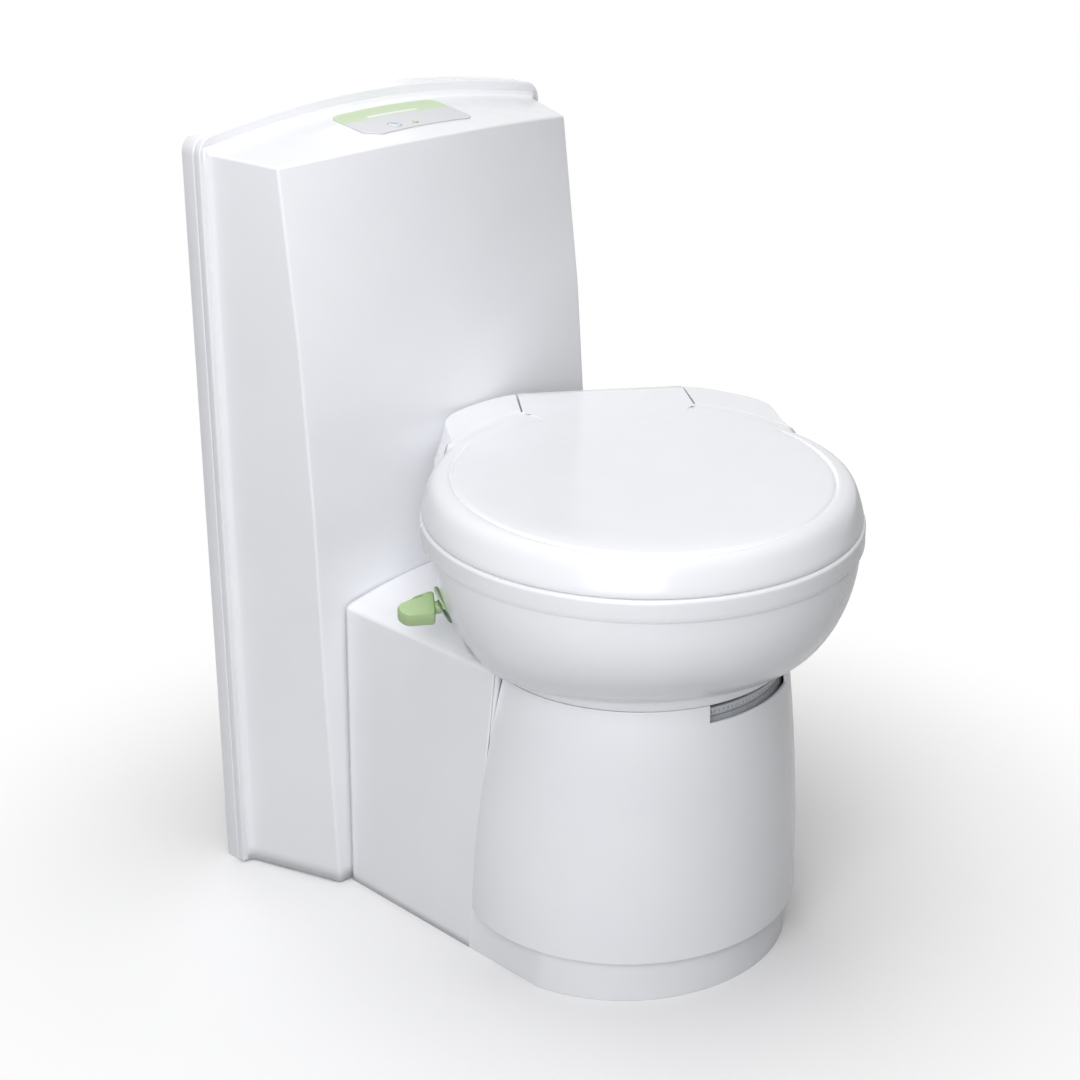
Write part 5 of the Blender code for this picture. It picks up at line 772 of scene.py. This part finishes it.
seat_rows = [seat_row(0.0, SEAT_FOOT, 0.7), seat_row(0.0, SEAT_FOOT + 0.2, 0.2)]
seat_rows += [seat_row(0.0, z) for z in (443.1, 448.0, 454.0, SEAT_TOP - SEAT_EDGE)]
seat_rows += [seat_row(0.0, SEAT_TOP - SEAT_EDGE + up, inwards)
              for inwards, up in quarter(SEAT_EDGE, 7)]
seat_rows += [seat_row(share, SEAT_TOP) for share in (0.1, 0.3, 0.5, 0.68)]
seat_rows += [seat_row(0.72 + 0.28 * across, SEAT_TOP - 9.0 * down)
              for down, across in quarter(1.0, 9)]
seat_rows += [seat_row(1.0 - 0.05 * back, 446.0 - 3.6 * down)
              for back, down in [(0.0, 0.0)] + quarter(1.0, 4)]
seat_rows += [seat_row(share, SEAT_FOOT) for share in (0.7, 0.4, 0.12)]
seat_pins = [lathe([(4.0, 426.4), (5.0, 427.4), (5.0, 443.5)], 24, (x, 40.0, 0.0))
             for x in (-174.0, 174.0)]
piece("seat_ring_soft", mesh_of("seat_ring", skin(seat_rows, ring=True), *seat_pins, turned=True),
      seat_abs, "seat", ["seat_ring"], 40.0)


# Lid: a heightfield on rows that run from the rim to the groove and on to the middle
LID_HALF, LID_LENGTH = 212.4, 227.3
RIM = [(2.0, 463.9), (0.9, 464.2), (0.3, 465.0), (0.1, 466.4), (0.3, 468.4), (1.2, 472.0),
       (2.7, 477.5), (4.4, 483.0), (6.0, 487.6), (7.8, 491.6), (10.0, 495.0), (12.8, 497.7),
       (16.4, 499.7), (20.5, 500.9), (26.0, 501.9), (32.0, 502.5), (40.0, 503.1), (70.0, 503.8),
       (110.0, 504.3), (160.0, 504.5), (215.0, 504.5)]
RIM_FOOT = RIM[0][1]
RIM_INSETS = [inset for inset, _ in RIM[:13]]
DIPS = (-4.2, -2.8, -1.9, -1.0, 0.0, 1.0, 1.9, 2.8, 4.2)
TONGUE_HALF, TONGUE_ROUND = 89.2, 206.4
TONGUE_REAR, TONGUE_TOP, TONGUE_EDGE, TONGUE_DEPTH = 251.0, 503.0, 5.0, 20.0
TONGUE_TURN = math.asin(TONGUE_HALF / TONGUE_ROUND)
CORNER_FRONT, CORNER_INSET, CORNER_DEPTH = 92.0, 4.1, 30.0
SEAM_HALF, SEAM_LENGTH = 209.1, 224.0
CORNER_TURN = math.pi - math.acos((CORNER_FRONT + LID_CENTRE) / SEAM_LENGTH)


def lid_point(angle, inset):
    return ((LID_HALF - inset) * math.sin(angle),
            -LID_CENTRE - (LID_LENGTH - inset) * math.cos(angle))


def rim_z(inset):
    return float(np.interp(inset, *zip(*RIM[3:])))


def groove_inset(angle):
    """How far inside the rim the groove runs in this direction."""
    low, high = 0.0, 60.0
    for _ in range(30):
        middle = (low + high) / 2
        x, y = lid_point(angle, middle)
        if (x / 183.7) ** 2 + ((y + 15.5) / 209.5) ** 2 > 1:
            low = middle
        else:
            high = middle
    return low


def wing_z(x):
    """Height of the hinge wings' tops, which the lid's rear corners meet."""
    return TONGUE_TOP - 5.0 * (x / 175.0) ** 2


def row_inset(index, groove):
    """How far inside the rim a row runs: 13 on the rim, 5 to the groove, 9 in it, 12 inside."""
    start, row = RIM_INSETS[-1], index - len(RIM_INSETS)
    stop = max(groove + DIPS[0], start * 0.75)
    share = min(1.0, stop / start)
    if row < 0:
        return RIM_INSETS[index] * (share if index > 6 else 1.0)
    if row < 5:
        return start * share + (stop - start * share) * (row + 1) / 6
    if row < 5 + len(DIPS):
        return groove + DIPS[row - 5]
    return groove + DIPS[-1] + (211.5 - groove - DIPS[-1]) * (row - 4 - len(DIPS)) / 12


def tongue_point(angle, index, inset, place):
    """The lid's rear edge between the wings: a straight foot, a round edge, then level."""
    x, y, z = place
    if inset >= TONGUE_DEPTH:
        return x, y, max(z, TONGUE_TOP)
    y, z = TONGUE_REAR - TONGUE_EDGE, TONGUE_TOP
    if index < 5:
        y = TONGUE_REAR - 1.5 * (1 - index / 5)
        z = TONGUE_TOP - 15.0 + 2.0 * index
    elif index < 11:
        turn = math.pi / 2 * (index - 5) / 6
        y = TONGUE_REAR - TONGUE_EDGE * (1 - math.cos(turn))
        z = TONGUE_TOP - TONGUE_EDGE * (1 - math.sin(turn))
    else:
        run = (inset - RIM_INSETS[10]) / (TONGUE_DEPTH - RIM_INSETS[10])
        y += (lid_point(angle, TONGUE_DEPTH)[1] - y) * eased(run)
    return TONGUE_ROUND * math.sin(angle), y, z


def corner_point(angle, index, inset, place, dip):
    """The lid beside the wings: it stands as high as they do and eases into the plain rim."""
    x, y, z = place
    near = min(angle - CORNER_TURN, math.tau - CORNER_TURN - angle)
    rise = eased(near / 0.075)
    if index < 10:
        x, y = lid_point(angle, CORNER_INSET)
        top = rim_z(CORNER_INSET)
        top += (wing_z(x) - 0.5 - top) * rise
        z = RIM_FOOT + (top - RIM_FOOT) * index / 9
    elif inset < CORNER_DEPTH:
        run = CORNER_DEPTH - CORNER_INSET
        inset = CORNER_INSET + (inset - 10.0) * run / 20.0 if inset > 10.0 else 4.2
        x, y = lid_point(angle, inset)
        reach = eased((inset - CORNER_INSET) / run)
        level = (wing_z(x) - 0.1) * (1 - reach) + rim_z(CORNER_DEPTH) * reach
        plain = rim_z(inset) - dip(inset)
        z = plain + (level - plain) * rise
    return x, y, z


def lid_line(angle):
    """All points of the lid in one direction, from the rim's foot to the middle."""
    groove = groove_inset(angle)
    line = []
    for index in range(len(RIM_INSETS) + 5 + len(DIPS) + 12):
        inset = row_inset(index, groove)
        x, y = lid_point(angle, inset)
        fade = 1 - eased((y - 60) / 110)

        def dip(reach):
            return 2.4 * fade * math.exp(-((reach - groove) / 1.7) ** 2)

        place = x, y, (rim_z(inset) if index > 3 else RIM[index][1]) - dip(inset)
        if abs(angle - math.pi) < TONGUE_TURN:
            place = tongue_point(angle, index, inset, place)
        elif CORNER_TURN < angle < math.tau - CORNER_TURN:
            place = corner_point(angle, index, inset, place, dip)
        line.append(place)
    return line


def lid_inside(rows):
    """The lid's inner face, in from its wall and under its top by the wall's thickness."""
    made = rows.copy()
    middle = np.array([0.0, -LID_CENTRE])
    for index, line in enumerate(rows):
        upper = eased((index - 6) / 7)
        reach = line[:, :2] - middle
        inwards = WALL * (1 - upper) / np.linalg.norm(reach, axis=1)
        made[index, :, :2] = middle + reach * np.maximum(0.2, 1 - inwards)[:, None]
        made[index, :, 2] -= WALL * upper
    return made


lid_marks = [turn + shift for turn in (math.pi - TONGUE_TURN, math.pi + TONGUE_TURN, CORNER_TURN,
                                       math.tau - CORNER_TURN) for shift in (-0.0012, 0.0012)]
lid_angles = sorted([*np.linspace(0.0, math.tau, 288, endpoint=False), *lid_marks])
lid_top = np.array([lid_line(angle) for angle in lid_angles]).transpose(1, 0, 2)
lid_mesh = mesh_of("lid", skin(np.concatenate([lid_inside(lid_top)[::-1], lid_top]), caps=True),
                   turned=True)
piece("lid_outer_shell", lid_mesh, white_abs, "lid", ["lid_shell"], 38.0)
barrel = mesh_of("barrel", round_bar(10.0, -87.6, 87.6, (0.0, 225.0, 487.0), 0.5, 40), turned=True)
piece("lid_hinge_barrel", barrel, white_abs, "lid", ())


# Hinge wings: a leaning outer side, a crowned top and an inner side along the lid's seam
WING_TOP_LINE = [(91.0, 250.6), (100.0, 248.6), (112.0, 243.6), (130.0, 233.0), (145.0, 222.0),
                 (157.0, 210.6), (165.5, 199.6), (170.4, 188.0), (172.2, 176.0), (172.2, 160.0),
                 (172.0, 140.0), (170.8, 120.0), (167.5, 98.0)]
WING_FOOT_LINE = [(91.0, 249.6), (101.0, 246.0), (115.0, 238.0), (132.0, 226.6), (148.0, 215.0),
                  (161.0, 203.8), (171.5, 192.6), (179.0, 181.0), (184.0, 168.0), (186.6, 152.0),
                  (187.4, 136.0), (186.4, 114.0), (183.4, 94.0)]
WING_COUNT, WING_ACROSS = 60, 14
WING_TIP_Z = 482.0


def smooth_line(points, count):
    """Even points on a smooth curve through the given ones."""
    points = np.array(points)
    padded = np.vstack([2 * points[0] - points[1], points, 2 * points[-1] - points[-2]])
    fine = []
    for first in range(len(points) - 1):
        before, here, after, beyond = padded[first:first + 4]
        for share in np.linspace(0, 1, 12, endpoint=False):
            fine.append(0.5 * (2 * here + (after - before) * share
                               + (2 * before - 5 * here + 4 * after - beyond) * share ** 2
                               + (3 * here - before - 3 * after + beyond) * share ** 3))
    fine = np.array(fine + [points[-1]])
    reach = np.concatenate([[0], np.cumsum(np.linalg.norm(np.diff(fine, axis=0), axis=1))])
    return np.stack([np.interp(np.linspace(0, reach[-1], count), reach, fine[:, axis])
                     for axis in range(2)], axis=1)


def wing_mesh(side, name):
    """One wing; its front tip runs down to the lid."""
    top_line = smooth_line(WING_TOP_LINE, WING_COUNT)
    foot_line = smooth_line(WING_FOOT_LINE, WING_COUNT)
    places = np.linspace(0, 1, WING_COUNT)
    start = math.asin(92.4 / SEAM_HALF)
    turns = start + (math.pi - CORNER_TURN - start) * places
    inner_line = np.stack([SEAM_HALF * np.sin(turns), SEAM_LENGTH * np.cos(turns) - LID_CENTRE],
                          axis=1)
    rises = eased((1 - places) / 0.12)

    def between_foot_and_top(line, level, drop=0.0):
        tops = WING_TIP_Z + (wing_z(line[:, 0]) - WING_TIP_Z) * rises
        return np.column_stack([line, RIM_FOOT + (tops - RIM_FOOT) * level - drop])

    rows = []
    for level, inset in ([(level, 0.0) for level in (0.0, 0.02, 0.35, 0.7, 0.93)]
                         + [(0.93 + 0.07 * up / 3.0, inwards) for inwards, up in quarter(3.0, 5)]):
        reach = foot_line + (top_line - foot_line) * level - inner_line
        size = np.maximum(np.linalg.norm(reach, axis=1), 1e-6)
        outwards = np.sum(reach * (inner_line + (0.0, LID_CENTRE)), axis=1) > 0
        share = np.where(outwards, np.maximum(0.0, 1 - inset / size), 0.0)
        rows.append(between_foot_and_top(inner_line + reach * share[:, None], level))
    edge = rows[-1][:, :2]
    for step in range(1, WING_ACROSS + 1):
        share = step / WING_ACROSS
        drop = 0.8 if step == WING_ACROSS else 0.0
        rows.append(between_foot_and_top(edge * (1 - share) + inner_line * share, 1.0, drop))
    rows += [between_foot_and_top(inner_line, level) for level in (0.96, 0.5, 0.0)]
    points, faces = skin(np.array(rows) * (side, 1.0, 1.0), around=False, ring=True)
    faces.append(tuple(row * WING_COUNT for row in range(len(rows))))
    faces.append(tuple(row * WING_COUNT + WING_COUNT - 1 for row in reversed(range(len(rows)))))
    return mesh_of(name, (points, faces), turned=True)


for side, name in ((-1.0, "hinge_wing_left"), (1.0, "hinge_wing_right")):
    piece(name + "_cover", wing_mesh(side, name), white_abs, "seat", [name], 40.0)


# Knob: a flat green paddle on a round neck, with two thin discs where it leaves the belly
KNOB_Z = 366.6
KNOB_TILT = math.radians(60)
KNOB_OUTLINE = [(-201.5, -15.4), (-229.5, -16.0), (-237.6, -9.5), (-238.4, -1.8), (-235.0, 2.2),
                (-206.0, 15.6), (-201.5, 15.0)]
KNOB_DEPTH = 9.0
DISC_LEAN = math.radians(29.5)
DISC_START = (-188.6, 0.0, KNOB_Z)


def rounded_corners(points, radius, steps):
    """Outline with its corners cut round, in the same order."""
    made = []
    for place, corner in enumerate(points):
        before, after = points[place - 1] - corner, points[(place + 1) % len(points)] - corner
        reach = min(radius, 0.4 * np.linalg.norm(before), 0.4 * np.linalg.norm(after))
        start = corner + before / np.linalg.norm(before) * reach
        stop = corner + after / np.linalg.norm(after) * reach
        made += [(1 - share) ** 2 * start + 2 * share * (1 - share) * corner + share ** 2 * stop
                 for share in spaced(0.0, 1.0, steps + 1)]
    return made


def paddle_relief(x, z):
    """How far the outer face lies in: a slope above, a slot across it and a small dimple."""
    slope = 1.8 * eased((z - 8.0) / 7.0)
    along = eased(x + 234.0) * (1 - eased(x + 213.0))
    across = abs(z - 6.6 - (x + 220.0) * 0.28)
    slot = 2.2 * along * (1 - eased((across - 1.0) / 0.5))
    dimple = 0.8 * (1 - eased(math.hypot(x + 232.5, z + 4.0) / 2.2))
    return slope + slot + dimple


def knob_paddle():
    """Broad faces on rows of the outline, leant back about the knob's own axis."""
    corners = rounded_corners(np.array(KNOB_OUTLINE), 4.0, 6)
    outline = []
    for here, after in zip(corners, corners[1:] + corners[:1]):
        count = max(1, int(np.linalg.norm(after - here) / 1.6))
        outline += [here + (after - here) * step / count for step in range(count)]
    centre = np.array([-219.0, -1.0])

    def level(shrink, depth=None, least=-KNOB_DEPTH):
        line = centre + (np.array(outline) - centre) * (1 - shrink / 16.0)
        return [(x, max(least, paddle_relief(x, z) - KNOB_DEPTH) if depth is None else depth, z)
                for x, z in line]

    rows = [level(8.0, KNOB_DEPTH), level(2.6, KNOB_DEPTH), level(1.4, 8.6), level(0.4, 7.5),
            level(0.0, 6.0), level(0.0, 0.0), level(0.0, -5.4), level(0.4, least=-6.6)]
    rows += [level(shrink) for shrink in [1.2] + spaced(2.0, 15.6, 34)]
    points, faces = skin(rows, caps=True)
    x, y, z = points.T
    return np.stack([x, math.cos(KNOB_TILT) * y + math.sin(KNOB_TILT) * z,
                     -math.sin(KNOB_TILT) * y + math.cos(KNOB_TILT) * z + KNOB_Z], axis=1), faces


def leaning_disc(radius, rise, out, thick):
    """A thin disc that leans with the belly, its bore about the knob's axis.

    rise is how far its centre lies above the knob's axis along the belly, out how far its inner
    face stands off the belly.
    """
    along = np.array([-math.sin(DISC_LEAN), 0.0, math.cos(DISC_LEAN)])
    away = np.array([-math.cos(DISC_LEAN), 0.0, -math.sin(DISC_LEAN)])
    rows = []
    for reach, depth in ((radius - 0.5, 0.0), (radius, 0.5), (radius, thick - 0.5),
                         (radius - 0.5, thick), (radius * 0.75, thick + 0.25),
                         (5.6, thick), (5.6, 0.0)):
        centre = DISC_START + along * (rise if reach > 6 else 0.0) + away * (out + depth)
        rows.append([centre + reach * (math.cos(turn) * along + np.array([0.0, math.sin(turn), 0]))
                     for turn in np.linspace(0, math.tau, 72, endpoint=False)])
    return skin(rows, ring=True)


knob_mesh = mesh_of("valve_knob", knob_paddle(),
                    round_bar(6.4, -204.5, -195.4, (0.0, 0.0, KNOB_Z), 0.6, 48), turned=True)
piece("valve_knob_paddle", knob_mesh, knob_abs, "knob", ["valve_knob"], 30.0)
rose_mesh = mesh_of("knob_rose", leaning_disc(15.6, 8.5, -0.6, 2.4), turned=True)
piece("knob_rose_disc", rose_mesh, knob_abs, "bowl", ["knob_rose"], 30.0)
# The shield disc's darker grey-green is partly painted shade for the slit under the knob
shield_mesh = mesh_of("knob_shield", leaning_disc(13.4, -2.5, 4.4, 1.5), turned=True)
piece("knob_shield_disc", shield_mesh, shield_abs_with_painted_shade, "bowl", (), 30.0)

# Turntable: two flanges with a dark ball race between them, the lower one finely ribbed
lower = skin(round_rows((132.0, 296.2), (141.6, 296.2), (142.0, 296.6), (142.0, 302.2),
                        (142.3, 302.6), (144.0, 302.6), (144.5, 303.0), (144.5, 305.2),
                        (144.1, 305.6), (132.0, 305.6)), ring=True)
piece("turntable_lower_flange", mesh_of("turntable_ring_lower", lower), ring_pom, "base",
      ["turntable_ring_lower"], 30.0)
upper = skin(round_rows((132.0, 308.4), (143.9, 308.4), (144.4, 308.8), (144.4, 311.0),
                        (144.0, 311.4), (132.0, 311.4)), ring=True)
piece("turntable_upper_flange", mesh_of("turntable_ring_upper", upper, turned=True), ring_pom,
      "bowl", ["turntable_ring_upper"], 30.0)


# What repeats: one small shape set out on points by Geometry Nodes, then made a plain mesh
def set_out(name, shape, points, material, outwards):
    """Put the shape at each point, turned so that its X looks along the point's direction."""
    tree = bpy.data.node_groups.new(name + "_tree", "GeometryNodeTree")
    face = tree.interface
    face.new_socket("Geometry", in_out="INPUT", socket_type="NodeSocketGeometry")
    shape_in = face.new_socket("Shape", in_out="INPUT", socket_type="NodeSocketObject")
    matter_in = face.new_socket("Material", in_out="INPUT", socket_type="NodeSocketMaterial")
    face.new_socket("Geometry", in_out="OUTPUT", socket_type="NodeSocketGeometry")
    given = add(tree, "NodeGroupInput").outputs
    info = add(tree, "GeometryNodeObjectInfo", {"Object": given["Shape"]},
               transform_space="ORIGINAL")
    facing = add(tree, "GeometryNodeInputNamedAttribute", {"Name": "facing"},
                 data_type="FLOAT_VECTOR")
    turn = add(tree, "FunctionNodeAlignRotationToVector", {"Vector": facing}, axis="X",
               pivot_axis="AUTO")
    placed = add(tree, "GeometryNodeInstanceOnPoints",
                 {"Points": given["Geometry"], "Instance": info.outputs["Geometry"],
                  "Rotation": turn})
    real = add(tree, "GeometryNodeRealizeInstances", {"Geometry": placed})
    dressed = add(tree, "GeometryNodeSetMaterial", {"Geometry": real,
                                                    "Material": given["Material"]})
    add(tree, "NodeGroupOutput", {"Geometry": dressed})

    pattern = bpy.data.objects.new(name + "_shape", shape)
    cloud = bpy.data.meshes.new(name + "_points")
    cloud.from_pydata((np.array(points) * MM).tolist(), [], [])
    attribute = cloud.attributes.new("facing", "FLOAT_VECTOR", "POINT")
    attribute.data.foreach_set("vector", np.array(outwards, np.float32).ravel())
    carrier = bpy.data.objects.new(name + "_carrier", cloud)
    for thing in (pattern, carrier):
        bpy.context.scene.collection.objects.link(thing)
    step = carrier.modifiers.new("set_out", "NODES")
    step.node_group = tree
    step[shape_in.identifier] = pattern
    step[matter_in.identifier] = material
    mesh = bpy.data.meshes.new_from_object(
        carrier.evaluated_get(bpy.context.evaluated_depsgraph_get()))
    carrier.modifiers.clear()
    for thing in (carrier, pattern):
        bpy.data.objects.remove(thing, do_unlink=True)
    bpy.data.node_groups.remove(tree)
    return mesh


def box_mesh(name, low, high, edge):
    """A block with small chamfers."""
    work = bmesh.new()
    bmesh.ops.create_cube(work, size=1.0)
    low, high = Vector(low) * MM, Vector(high) * MM
    for vertex in work.verts:
        vertex.co = (low + high) / 2 + vertex.co * (high - low)
    bmesh.ops.bevel(work, geom=work.edges[:], offset=edge * MM, segments=1, affect="EDGES",
                    profile=0.5)
    mesh = bpy.data.meshes.new(name)
    work.to_mesh(mesh)
    work.free()
    return mesh


def screw_mesh(radius, height):
    """A pan head with a cross recess that looks along X."""
    head = [(radius * reach, height * depth) for reach, depth in
            ((1.0, 0.0), (1.0, 0.35), (0.94, 0.7), (0.78, 0.92), (0.5, 1.0), (1.0, 1.0),
             (0.8, 0.3))]
    points, faces = lathe(head, 24, along_x=True)
    for place in range(5 * 24, 7 * 24):
        turn = math.tau * (place % 24) / 24
        near = abs((turn + math.pi / 4) % (math.pi / 2) - math.pi / 4)
        points[place, 1:] *= 0.46 if near < 0.3 else 0.2
    return mesh_of("screw", (points, faces))


# Fine ribs under the lower flange of the turntable, which show through the window
rib = box_mesh("rib", (141.7, -1.2, 299.2), (144.2, 1.2, 302.9), 0.3)
rib_turns = [math.tau * step / 180 for step in range(180)]
ribs = set_out("turntable_rib", rib, [(0.0, 0.0, 0.0)] * len(rib_turns), ring_pom,
               [(math.cos(turn), math.sin(turn), 0.0) for turn in rib_turns])
piece("turntable_ribs", ribs, ring_pom, "base", (), 30.0)

# Grille of the vent in the back: narrow slats across its opening
slats = []
for off in range(-27, 28, 9):
    reach = math.sqrt((VENT_RADIUS + 0.4) ** 2 - off ** 2)
    slats.append(box_mesh("slat", (VENT[0] + off - 1.3, 399.0, VENT[1] - reach),
                          (VENT[0] + off + 1.3, 405.0, VENT[1] + reach), 0.6))
piece("vent_grille", join_meshes("vent_grille", *slats), white_abs, "base", (),
      30.0)

# Screws of the back, sunk in the plate
screws = set_out("back_screw", screw_mesh(4.2, 2.6), [(x, 400.0, z) for x, z in SCREWS], steel_up,
                 [(0.0, 1.0, 0.0)] * len(SCREWS))
piece("back_screws", screws, steel_up, "base", (), 30.0)

# Materials of the CAD parts that are kept as they are
KEPT = {
    board_green: ["circuit_board"], rubber: ["rinse_hose", "wheel_left", "wheel_right"],
    black_abs: ["flush_valve", "rinse_nozzle", "fan_housing", "fan_rotor"],
    carbon: ["odour_filter"], core_pp: ["column_core", "urine_trough", "base_pan"],
    dark_nylon: ["bearing_ring", "container_handle"], bin_pp: ["solids_bin"],
    steel_up: ["water_inlet", "rail_left", "rail_right"], tank_hdpe: ["urine_tank"],
    grey_pp: ["container_tray", "valve_frame", "solids_flap"], cap_abs: ["tank_cap"],
    bowl_pp: ["bowl_insert"], gear_pom: ["flap_gear", "knob_gear"],
    steel: ["drain_grate", "flap_shaft", "knob_shaft", "hinge_pin"],
}
for matter, names in KEPT.items():
    for name in names:
        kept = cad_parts[name].data
        kept.materials.clear()
        kept.materials.append(matter)
        kept.polygons.foreach_set("material_index", [0] * len(kept.polygons))


# Floor, lamps, camera and background, in metres
def floor_material():
    """Pale studio floor, fading to the plain white of the background away from the object."""
    made, tree, shader, place = new_material("studio_floor")
    away = add(tree, "ShaderNodeVectorMath", {0: place, 1: (0.0, 0.12, 0.0)},
               operation="DISTANCE")
    fade = add(tree, "ShaderNodeMapRange", {"From Min": 0.3, "From Max": 0.8, "Value": away},
               interpolation_type="SMOOTHSTEP")
    grit = add(tree, "ShaderNodeTexNoise", {"Scale": 60.0, "Detail": 2.0, "Vector": place})
    rough = add(tree, "ShaderNodeMapRange", {"To Min": 0.75, "To Max": 0.9, "Value": grit})
    ray = add(tree, "ShaderNodeLightPath").outputs
    tone = add(tree, "ShaderNodeMix", {"A": linear("#FAFAFA"), "B": linear("#9C9C9C"),
                                       "Factor": ray["Is Diffuse Ray"]}, data_type="RGBA")
    tree.links.new(rough.outputs["Result"], shader.inputs["Roughness"])
    tree.links.new(tone.outputs["Result"], shader.inputs["Base Color"])
    seen = add(tree, "ShaderNodeMath", {0: fade, 1: ray["Is Camera Ray"]}, operation="MULTIPLY")
    plain = add(tree, "ShaderNodeEmission", {"Color": WHITE, "Strength": 1.0})
    mixed = add(tree, "ShaderNodeMixShader", {0: seen, 1: shader, 2: plain})
    tree.links.new(mixed.outputs[0], tree.nodes["Material Output"].inputs["Surface"])
    return made


FLOOR_RADIUS = 4.0
floor_mesh = bpy.data.meshes.new("studio_floor")
floor_mesh.from_pydata([(x, y, 0.0) for x, y in reversed(hole(FLOOR_RADIUS, (0.0, 0.0), 96))],
                       [], [tuple(range(96))])
floor_mesh.materials.append(floor_material())
stage_things = [bpy.data.objects.new("studio_floor", floor_mesh)]

# The soft light of the photograph: three large lamps and a faint white all round
for name, place, target, size, watts, colour in (
        ("overhead_softbox", (-0.2, -0.2, 2.6), (0.0, 0.1, 0.3), (1.6, 1.6), 25.0, "#FFFFFF"),
        ("key_softbox", (-2.2, -1.5, 1.6), (0.0, 0.0, 0.4), (2.0, 2.2), 58.0, "#FDFDFF"),
        ("rear_softbox", (0.9, 2.6, 1.3), (0.0, 0.0, 0.4), (1.6, 1.6), 16.0, "#FFFFFF")):
    lamp = bpy.data.lights.new(name, "AREA")
    lamp.shape = "RECTANGLE"
    lamp.size, lamp.size_y = size
    lamp.energy = watts
    lamp.color = linear(colour)[:3]
    made = bpy.data.objects.new(name, lamp)
    made.location = place
    made.rotation_euler = (Vector(target) - Vector(place)).to_track_quat("-Z", "Y").to_euler()
    stage_things.append(made)
for thing in stage_things:
    bpy.context.scene.collection.objects.link(thing)

# The camera as it was fitted to the photograph
CAMERA_PLACE = (-1.4400, -1.3906, 1.2120)
CAMERA_LENS, SENSOR = 73.149, 36.0
yaw, pitch, roll = math.radians(43.240), math.radians(21.441), -0.0075
forward = Vector((math.sin(yaw) * math.cos(pitch), math.cos(yaw) * math.cos(pitch),
                  -math.sin(pitch)))
level_right = Vector((math.cos(yaw), -math.sin(yaw), 0.0))
level_up = level_right.cross(forward)
right = math.cos(roll) * level_right + math.sin(roll) * level_up
up = -math.sin(roll) * level_right + math.cos(roll) * level_up
lens = bpy.data.cameras.new("photo_camera")
lens.lens = CAMERA_LENS
lens.sensor_width = SENSOR
camera = bpy.data.objects.new("photo_camera", lens)
camera.matrix_world = Matrix.Translation(CAMERA_PLACE) @ Matrix(
    (right, up, -forward)).transposed().to_4x4()
scene = bpy.context.scene
scene.collection.objects.link(camera)
scene.camera = camera

# The background is plain white where it is seen or mirrored and faint where it lights
world = bpy.data.worlds.new("studio")
scene.world = world
world.use_nodes = True
sky = world.node_tree
sky.nodes.clear()
rays = add(sky, "ShaderNodeLightPath").outputs
direct = add(sky, "ShaderNodeMath", {0: rays["Is Camera Ray"], 1: rays["Is Glossy Ray"]},
             operation="ADD")
seen = add(sky, "ShaderNodeMath", {0: direct, 1: rays["Is Transmission Ray"]}, operation="ADD",
           use_clamp=True)
strength = add(sky, "ShaderNodeMapRange", {"To Min": 0.2, "To Max": 1.0, "Value": seen})
backdrop = add(sky, "ShaderNodeBackground", {"Color": WHITE, "Strength": strength})
add(sky, "ShaderNodeOutputWorld", {"Surface": backdrop})
scene.view_settings.view_transform = "Standard"
